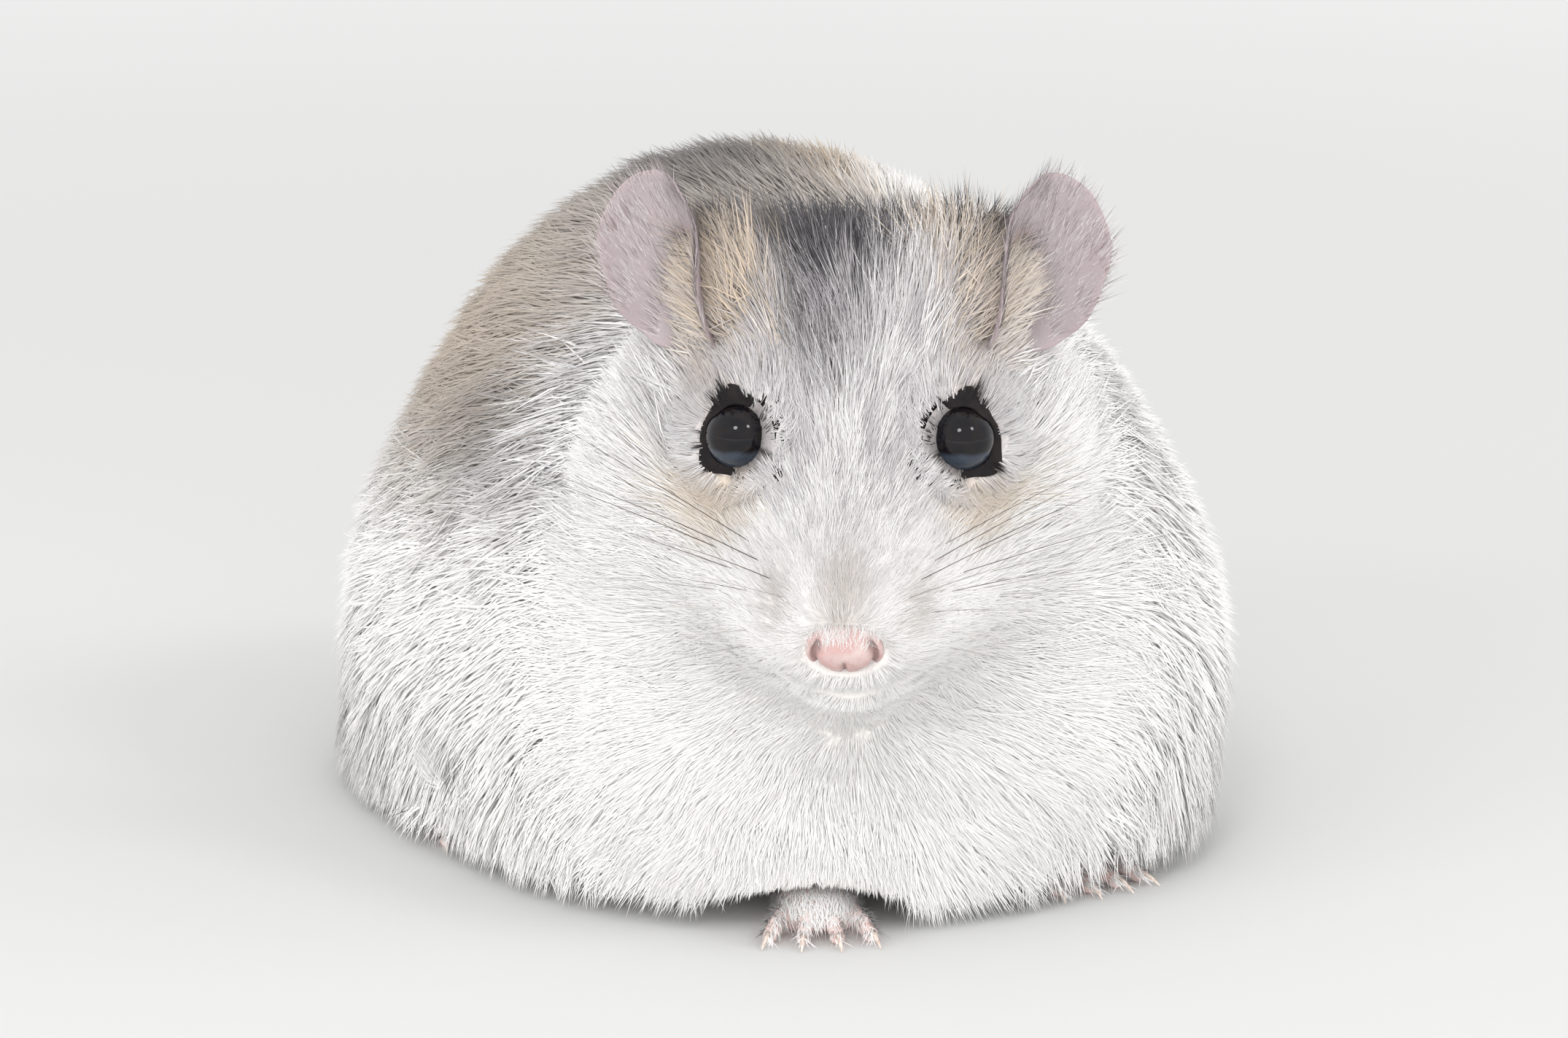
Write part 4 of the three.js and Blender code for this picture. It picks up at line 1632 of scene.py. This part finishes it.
@dataclass
class Coat:
    """All the hair: fine short spikes on the face, ears and feet, and longer bent locks on the body."""

    head: HeadFrame
    map: CoatMap
    eyes: Sequence[Eye]
    finish: bpy.types.Material
    face_count: int = 90000
    body_count: int = 94000
    ear_count: int = 3600
    foot_count: int = 4000
    tail_count: int = 1800
    most_locks: int = 19000
    face_tuft: int = 12
    body_tuft: int = 14
    gathering: float = 0.7
    made: list[bpy.types.Object] = field(default_factory=list)

    FINE = Lock(root=1.0)
    LONG = Lock(root=0.55, rings=((0.42, 1.0),))
    BODY_NAMES = ("nape", "shoulders", "ribs", "middle", "loin")

    def _add(self, name: str, lock: Lock, roots: Roots, growth: Growth, finish: Any = None) -> None:
        """Builds one piece of coat and keeps it. Its finish is the coat's unless another is given."""
        self.made.append(CoatPiece(name, lock, roots, growth).build(finish or self.finish))

    def _open(self, places: Array, normals: Array) -> Array:
        """1 where hair may grow, and 0 on the eyes, the nose and what the feet stand in."""
        eyes = self.eyes[0].clear(places) * self.eyes[1].clear(places)
        pad = np.linalg.norm((self.head.local(places) - (0.0, -17.4, -8.8)) / (3.2, 3.0, 2.1), axis=1)
        feet = rising(2.0, 3.5, self.map.near_foot(places))
        under = between(1.0, 0.45, rising(-0.7, -0.95, normals[:, 2]))
        return eyes * rising(0.95, 1.1, pad) * feet * under

    def _growth(self, roots: Roots, wide: Array, random: np.random.Generator, per_tuft: int) -> Growth:
        """How locks lie that follow the map of the coat.

        Args:
            roots: where they grow.
            wide: each lock's full width, in metres.
            random: for the draws.
            per_tuft: how many locks gather in a tuft.

        Returns:
            The growth.
        """
        count = len(roots.places)
        length = self.map.length(roots.places) * random.uniform(0.65, 1.15, count)
        depth = self.map.depth(roots.places, roots.normals)
        seeds = random.choice(count, count // per_tuft, replace=False)
        tuft = nearest(roots.places, roots.places[seeds])
        lift = random.uniform(0.4, 1.0, len(seeds))[tuft] * 0.5 + random.uniform(0.15, 0.4, count)
        on_end = 0.35 * rising(9.0, 2.0, roots.places[:, 2] / MM)
        on_end = on_end + 0.45 * rising(3.5, 0.5, self.map.near_eye(roots.places))
        rise = np.clip(depth * lift + length * on_end, length * 0.12, length * 0.85)
        flow = self.map.lie(roots.places, roots.normals)
        lean = random.normal(0.0, 0.13, (len(seeds), 3))[tuft] + random.normal(0.0, 0.09, (count, 3))
        flow = along_surface(flow + lean, roots.normals)
        curl = length * random.normal(0.0, 0.07, count)
        apart = roots.places[seeds][tuft] - roots.places
        gather = (apart - flow * np.sum(apart * flow, axis=1, keepdims=True)) * self.gathering
        tone = random.random(len(seeds))[tuft] * 0.6 + random.random(count) * 0.4
        slide = random.normal(0.15, 0.36, (count, 1)) * length[:, None]
        mark = roots.places - flow * slide + random.normal(0.0, 0.35 * MM, (count, 3))
        lash = np.maximum(*(eye.dark(roots.places, -0.4) for eye in self.eyes))
        return Growth(flow, length, wide, rise, curl, tone, gather, mark, lash)

    def grow_face(self, skin: Surface) -> None:
        """Grows the fine hair of the face, in a right and a left half."""

        def weight(places: Array, normals: Array) -> Array:
            """Thickest at the muzzle and round the eyes, thinning out towards the neck."""
            away = self.map.from_nose(places)
            thick = between(2.1, 1.0, rising(4.0, 22.0, away))
            thick = thick + 2.2 * rising(3.0, 0.2, self.map.near_eye(places))
            return thick * rising(38.0, 28.0, away) * self._open(places, normals)

        random = np.random.default_rng(11)
        roots = skin.scatter(self.face_count, weight, 12)
        wide = between(0.10, 0.19, rising(4.0, 30.0, self.map.from_nose(roots.places)))
        wide = wide * random.uniform(0.8, 1.25, len(wide)) * MM
        growth = self._growth(roots, wide, random, self.face_tuft)
        half = self.head.local(roots.places)[:, 0]
        for side in Side:
            chosen = np.nonzero(half * side.value > 0)[0]
            self._add(f"coat_face_{side.word}", self.FINE, roots.pick(chosen), growth.pick(chosen))

    def grow_body(self, skin: Surface) -> None:
        """Grows the body's locks, in bands from the nape to the loin, which takes in the rump."""

        def weight(places: Array, normals: Array) -> Array:
            """Even over the body, starting behind the face."""
            return rising(25.0, 36.0, self.map.from_nose(places)) * self._open(places, normals)

        random = np.random.default_rng(21)
        roots = skin.scatter(self.body_count, weight, 22)
        wide = between(0.17, 0.26, rising(30.0, 55.0, self.map.from_nose(roots.places)))
        wide = wide * random.uniform(0.75, 1.3, len(wide)) * MM
        growth = self._growth(roots, wide, random, self.body_tuft)
        order = np.argsort(roots.places[:, 1], kind="stable")
        bands = np.array_split(order, math.ceil(len(order) / self.most_locks))
        for name, chosen in zip(self.BODY_NAMES, bands):
            self._add(f"coat_{name}", self.LONG, roots.pick(chosen), growth.pick(chosen))

    def grow_patch(
        self,
        patch: "Patch",
        skin: Surface,
        way: Callable[[Array], Array],
        weight: Callable[[Array, Array], Array],
        finish: Optional[bpy.types.Material] = None,
    ) -> None:
        """Grows the hair of a small part such as an ear or a foot.

        Args:
            patch: the hair's count and sizes.
            skin: what it grows from.
            way: which way it lies, from its places.
            weight: how thickly it stands.
            finish: its material, where it isn't the coat's.
        """
        random = np.random.default_rng(patch.seed)
        count = patch.count
        roots = skin.scatter(count, weight, patch.seed + 1)
        long = patch.length * random.uniform(0.6, 1.2, count) * MM
        flow = along_surface(way(roots.places) + random.normal(0.0, patch.stray, (count, 3)), roots.normals)
        growth = Growth(
            lie=flow,
            length=long,
            width=patch.width * random.uniform(0.7, 1.2, count) * MM,
            rise=np.minimum(patch.rise * random.uniform(0.5, 1.2, count) * MM, long * 0.8),
            curl=long * random.normal(0.0, 0.1, count),
            tone=random.random(count),
            gather=np.zeros((count, 3)),
            mark=roots.places,
            lash=np.zeros(count),
        )
        self._add(patch.name, patch.lock, roots, growth, finish)


@dataclass(frozen=True)
class Patch:
    """The hair of a small part. Sizes are in millimetres."""

    name: str
    count: int
    length: float
    width: float
    rise: float
    seed: int
    stray: float = 0.14
    lock: Lock = Coat.FINE


def everywhere(places: Array, normals: Array) -> Array:
    """Hair all over a part."""
    return np.ones(len(places))


@dataclass(frozen=True)
class Whisker:
    """One whisker of the left side, in the head's frame: its root, its first way and its bow."""

    root: Triple
    way: Triple
    length: float
    droop: float
    width: float
    pale: float


@dataclass
class Whiskers:
    """The long hairs of the muzzle and the brows: thin tapering bows. Millimetres."""

    head: HeadFrame
    rows_down: int = 4
    rows_back: int = 4
    brow_hairs: int = 3
    first_seed: int = 6

    SHAFT = Lock(
        root=1.0,
        rings=((0.1, 0.95), (0.22, 0.9), (0.34, 0.82), (0.46, 0.72), (0.58, 0.6), (0.7, 0.46), (0.82, 0.3)),
        thickness=1.0,
    )

    def rows(self, side: Side) -> list[Whisker]:
        """The whiskers of one side."""
        found = []
        random = np.random.default_rng(self.first_seed + side.value)
        for row in range(self.rows_down):
            for column in range(self.rows_back):
                out, up = 5.0 + row * 0.5 + column * 0.55, -5.6 - row * 1.7 + column * 0.2
                root = (out, -14.2 + column * 1.6, up)
                rise = 0.34 - 0.24 * row + random.normal(0.0, 0.07)
                way = (0.95, 0.12 + 0.14 * column + random.normal(0.0, 0.06), rise)
                length = (12.0 + 5.2 * column) * random.uniform(0.65, 1.1)
                pale = 0.0 if row in (0, 1) and column > 0 else random.uniform(0.3, 1.0)
                droop, width = random.uniform(0.03, 0.3), random.uniform(0.07, 0.115)
                found.append(Whisker(root, way, length, droop, width, pale))
        for number in range(self.brow_hairs):
            root = (7.6 + number * 0.9, 0.8 + number * 1.3, 5.4 + number * 0.3)
            way = (0.05 + 0.22 * number, 0.62, 0.75)
            found.append(Whisker(root, way, 10.0 + 3.0 * number, 0.3, 0.06, 0.35 + 0.3 * number))
        return found

    def build(self, finish: bpy.types.Material) -> bpy.types.Object:
        """Models all the whiskers as one piece."""
        shape, faces = self.SHAFT.build()
        along = shape[:, 2]
        places, triangles, pale = [], [], []
        for side in Side:
            flip = np.array([side.value, 1.0, 1.0])
            for hair in self.rows(side):
                start = self.head.place(*(np.array(hair.root) * flip))
                way = self.head.axes @ unit(np.array(hair.way) * flip)
                bow = unit(self.head.axes @ np.array([0.0, 0.75, 0.0]) + np.array([0.0, 0.0, -0.65]))
                across = unit(np.cross(way, bow))
                up = np.cross(across, way)
                length = hair.length * MM
                bend = along**2 * hair.droop - np.sin(along * math.pi) * hair.droop * 0.25
                line = start + np.outer(along * length, way) + np.outer(bend * length, bow)
                width = hair.width * MM
                skew = np.outer(shape[:, 0] * width, across) + np.outer(shape[:, 1] * width, up)
                triangles.append(faces + len(places) * len(shape))
                places.append(line + skew)
                pale.append(np.full(len(shape), hair.pale))
        mesh = bpy.data.meshes.new("whiskers")
        mesh.from_pydata(np.concatenate(places).tolist(), [], np.concatenate(triangles).tolist())
        give_attribute(mesh, "pale", np.concatenate(pale))
        shade_smooth(mesh)
        mesh.materials.append(finish)
        return outward(placed("whiskers", mesh))


# ---- Studio ----
@dataclass(frozen=True)
class Lamp:
    """A round soft lamp that points at the animal, in metres and watts. Not every lamp shows as a glint."""

    name: str
    place: Triple
    power: float
    size: float
    glints: bool = True

    AIM = Vector((0.0, -0.01, 0.03))

    def hang(self) -> None:
        """Puts the lamp in the scene."""
        data = bpy.data.lights.new(self.name, "AREA")
        data.shape, data.size, data.energy = "DISK", self.size, self.power
        lamp = placed(self.name, data)
        lamp.visible_glossy = self.glints
        turn = (self.AIM - Vector(self.place)).to_track_quat("-Z", "Y").to_matrix().to_4x4()
        lamp.matrix_world = Matrix.Translation(self.place) @ turn


@dataclass
class Studio:
    """The floor, the light and the camera."""

    head: HeadFrame
    sky: Triple = (0.99, 0.99, 1.0)
    sky_strength: float = 0.90
    floor_half: float = 12.0
    azimuth: float = -28.0
    elevation: float = 12.5
    lens: float = 121.31
    sensor: float = 36.0
    distance: float = 0.45
    image: tuple[int, int] = (2150, 1423)
    brow_pixel: tuple[int, int] = (1166, 598)

    LAMPS = (
        Lamp("key", (-0.63, -0.75, 0.88), 3.0, 0.30),
        Lamp("second", (0.38, -0.87, 0.88), 2.0, 0.24),
        Lamp("left", (-1.20, -0.45, 0.34), 8.4, 1.0, False),
        Lamp("front", (-0.45, -1.20, 0.28), 5.6, 0.9, False),
        Lamp("right", (0.95, -0.85, 0.36), 4.8, 1.0, False),
    )

    def camera(self) -> None:
        """Sets the camera so that the point between the eyes falls where it should in the image."""
        azimuth, elevation = math.radians(self.azimuth), math.radians(self.elevation)
        level = math.cos(elevation)
        out = Vector((math.sin(azimuth) * level, -math.cos(azimuth) * level, math.sin(elevation)))
        right = Vector((math.cos(azimuth), math.sin(azimuth), 0.0))
        up = out.cross(right)
        pixels = self.lens / self.sensor * self.image[0]
        across = (self.brow_pixel[0] - self.image[0] / 2) / pixels * self.distance
        above = (self.image[1] / 2 - self.brow_pixel[1]) / pixels * self.distance
        data = bpy.data.cameras.new("camera")
        data.lens, data.sensor_width, data.sensor_fit = self.lens, self.sensor, "HORIZONTAL"
        data.clip_start, data.clip_end = 0.02, 30.0
        camera = placed("camera", data)
        place = Vector(self.head.origin) + out * self.distance - right * across - up * above
        turn = Matrix((right, up, out)).transposed().to_4x4()
        camera.matrix_world = Matrix.Translation(place) @ turn
        bpy.context.scene.camera = camera

    def build(self) -> bpy.types.Object:
        """Sets the stage, and gives the floor."""
        shape = bmesh.new()
        bmesh.ops.create_grid(shape, x_segments=2, y_segments=2, size=self.floor_half)
        floor = object_from("floor", shape)
        floor.data.materials.append(FloorFinish().build())
        world = bpy.data.worlds.new("studio")
        world.use_nodes = True
        background = world.node_tree.nodes["Background"]
        background.inputs["Color"].default_value = (*self.sky, 1.0)
        background.inputs["Strength"].default_value = self.sky_strength
        scene = bpy.context.scene
        scene.world = world
        scene.view_settings.view_transform = "Standard"
        for lamp in self.LAMPS:
            lamp.hang()
        self.camera()
        return floor


# ---- Assembly ----
def join(name: str, parts: Sequence[tuple[bpy.types.Object, bpy.types.Material]]) -> bpy.types.Object:
    """Joins parts into one piece, each keeping its own finish."""
    for part, finish in parts:
        part.data.materials.clear()
        part.data.materials.append(finish)
        shade_smooth(part.data)
    bpy.ops.object.select_all(action="DESELECT")
    for part, _ in parts:
        part.select_set(True)
    bpy.context.view_layer.objects.active = parts[0][0]
    bpy.ops.object.join()
    joined = parts[0][0]
    joined.name = name
    return joined


def settle(piece: bpy.types.Object, slot: str, *nodes: str) -> None:
    """Makes a piece ride on the body, and hides the nodes that it stands for. The slot, its finish's name,
    is not used.
    """
    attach(piece, "root")
    if nodes:
        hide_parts(*nodes)
    log.info("%s: %d faces", piece.name, len(piece.data.polygons))


@dataclass
class Hamster:
    """The whole animal: its parts' classes, and the skins that the coat grows from."""

    head: HeadFrame
    coat_map: CoatMap
    eyes: list[Eye] = field(init=False)
    ears: list[Ear] = field(init=False)
    feet: list[Foot] = field(init=False)
    tail: Tail = field(default_factory=Tail)
    skins: dict[str, bpy.types.Object] = field(default_factory=dict)

    # each bare skin: its two colours, and its roughness, crease, depth of crease and gloss
    BARE = (
        BareSkinFinish("foot_skin", (0.88, 0.73, 0.70), (0.82, 0.58, 0.54), 0.55, 2.4, 0.06),
        BareSkinFinish("lid_skin", (0.014, 0.012, 0.013), (0.022, 0.018, 0.018), 0.6, 5.0, 0.04, 0.1),
        BareSkinFinish("nose_skin", (0.62, 0.49, 0.47), (0.56, 0.36, 0.34), 0.42, 7.0, 0.04),
        BareSkinFinish("tail_skin", (0.84, 0.64, 0.60), (0.76, 0.52, 0.48), 0.6, 2.6, 0.08),
    )

    def __post_init__(self) -> None:
        """Sets out the parts that come in twos and fours."""
        self.eyes = [Eye(self.head, side) for side in Side]
        self.ears = [Ear(self.head, side) for side in Side]
        self.feet = [Foot(stand) for stand in FEET]

    def model(self) -> None:
        """Models every part of the skin."""
        body = Skin(self.head, self.coat_map, self.eyes).body()
        places = places_of(body.data)
        # partly painted shade: the skin is dark out to 0.4 mm beyond the lid's outline, while the hair's
        # dark share stops 0.4 mm inside it; besides the lid's own dark colour, this paints shade into the
        # gaps between the hairs round the eye
        give_attribute(body.data, "lash", np.maximum(*(eye.dark(places, 0.4) for eye in self.eyes)))
        self.skins["body"] = body
        for ear in self.ears:
            self.skins[f"ear_{ear.side.word}"] = ear.build()
        for foot in self.feet:
            self.skins[foot.stand.node] = foot.build()
        self.skins["tail"] = self.tail.build()
        self.skins["nose"] = Nose(self.head).build()

    def grow_coat(self) -> None:
        """Grows the coat on the skin."""
        coat = Coat(self.head, self.coat_map, self.eyes, CoatFinish(self.head).build())
        ear_hair = CoatFinish(self.head, "ear_hair", Tone.MAUVE).build()
        body = Surface.of(self.skins["body"])
        coat.grow_face(body)
        coat.grow_body(body)
        for ear in self.ears:
            word, value = ear.side.word, ear.side.value
            surface = Surface.of(self.skins[f"ear_{word}"])
            fine = Patch(f"coat_ear_{word}", coat.ear_count, 2.8, 0.08, 0.3, 31 + value)
            coat.grow_patch(fine, surface, ear.outwards, ear.inside, ear_hair)
            tuft = Patch(f"coat_ear_foot_{word}", 1700, 5.5, 0.15, 2.0, 35 + value, 0.2, Coat.LONG)
            coat.grow_patch(tuft, body, ear.aside, ear.before_root)
            tuft = Patch(f"coat_ear_side_{word}", 2200, 6.6, 0.14, 3.0, 38 + value, 0.22, Coat.LONG)
            coat.grow_patch(tuft, body, ear.upwards, ear.beside_root)
        nose = Nose(self.head)
        fuzz = Patch("coat_nose", 1400, 1.4, 0.07, 0.4, 47, 0.3)
        coat.grow_patch(fuzz, Surface.of(self.skins["nose"]), nose.upwards, nose.upper_edge)
        for number, foot in enumerate(self.feet):
            short = Patch(f"coat_{foot.stand.node}", coat.foot_count, 2.3, 0.15, 0.6, 41 + number)
            coat.grow_patch(short, Surface.of(self.skins[foot.stand.node]), foot.ahead, foot.upper)
        short = Patch("coat_tail", coat.tail_count, 2.2, 0.10, 0.4, 51)
        coat.grow_patch(short, Surface.of(self.skins["tail"]), self.tail.along, everywhere)
        for piece in coat.made:
            settle(piece, "coat")

    def join_skin(self) -> None:
        """Joins the skin's parts into one piece that stands for all the flesh."""
        ear_skin = EarFinish().build()
        foot_skin, lid_skin, nose_skin, tail_skin = (finish.build() for finish in self.BARE)
        finishes = {
            "body": SkinFinish(self.head).build(),
            "nose": nose_skin,
            "tail": tail_skin,
            **{f"ear_{side.word}": ear_skin for side in Side},
            **{stand.node: foot_skin for stand in FEET},
        }
        parts = [(made, finishes[name]) for name, made in self.skins.items()]
        parts += [(eye.rim(self.skins["body"]), lid_skin) for eye in self.eyes]
        skin = join("skin", parts)
        for layer in list(skin.data.uv_layers):
            skin.data.uv_layers.remove(layer)
        small = [name for name in finishes if name != "body"]
        settle(skin, "bare_skin", *Skin.FLESH, *small)

    def add_eyes(self) -> None:
        """Adds the eyeballs."""
        finish = EyeFinish(self.head.eye(Side.RIGHT)[2] / MM).build()
        for eye in self.eyes:
            made = eye.ball()
            made.data.materials.append(finish)
            shade_smooth(made.data)
            settle(made, "eye", f"eye_{eye.side.word}")

    def add_claws(self) -> None:
        """Adds the claws of all four feet as one piece."""
        shape = bmesh.new()
        for foot in self.feet:
            foot.claws(shape)
        claws = object_from("claws", shape)
        give_attribute(claws.data, "pale", np.zeros(len(claws.data.vertices)))
        horn = HornFinish("claw", (0.80, 0.70, 0.62), (0.62, 0.47, 0.40), (0.86, 0.80, 0.74), 0.35)
        claws.data.materials.append(horn.build())
        shade_smooth(claws.data)
        settle(claws, "claw")

    def add_whiskers(self) -> None:
        """Adds the whiskers as one piece."""
        shaft = HornFinish("whisker", (0.06, 0.038, 0.030), (0.12, 0.075, 0.06), (0.72, 0.69, 0.66), 0.4)
        settle(Whiskers(self.head).build(shaft.build()), "whisker")


def main() -> None:
    """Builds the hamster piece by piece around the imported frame."""
    logging.basicConfig(level=logging.INFO, format="%(message)s")
    head = HeadFrame.from_eyes()
    coat_map = CoatMap(head)
    stage = Studio(head)
    stage.build()

    hamster = Hamster(head, coat_map)
    hamster.model()
    hamster.grow_coat()
    hamster.join_skin()
    hamster.add_eyes()
    hamster.add_claws()
    hamster.add_whiskers()


if __name__ == "__main__":
    main()
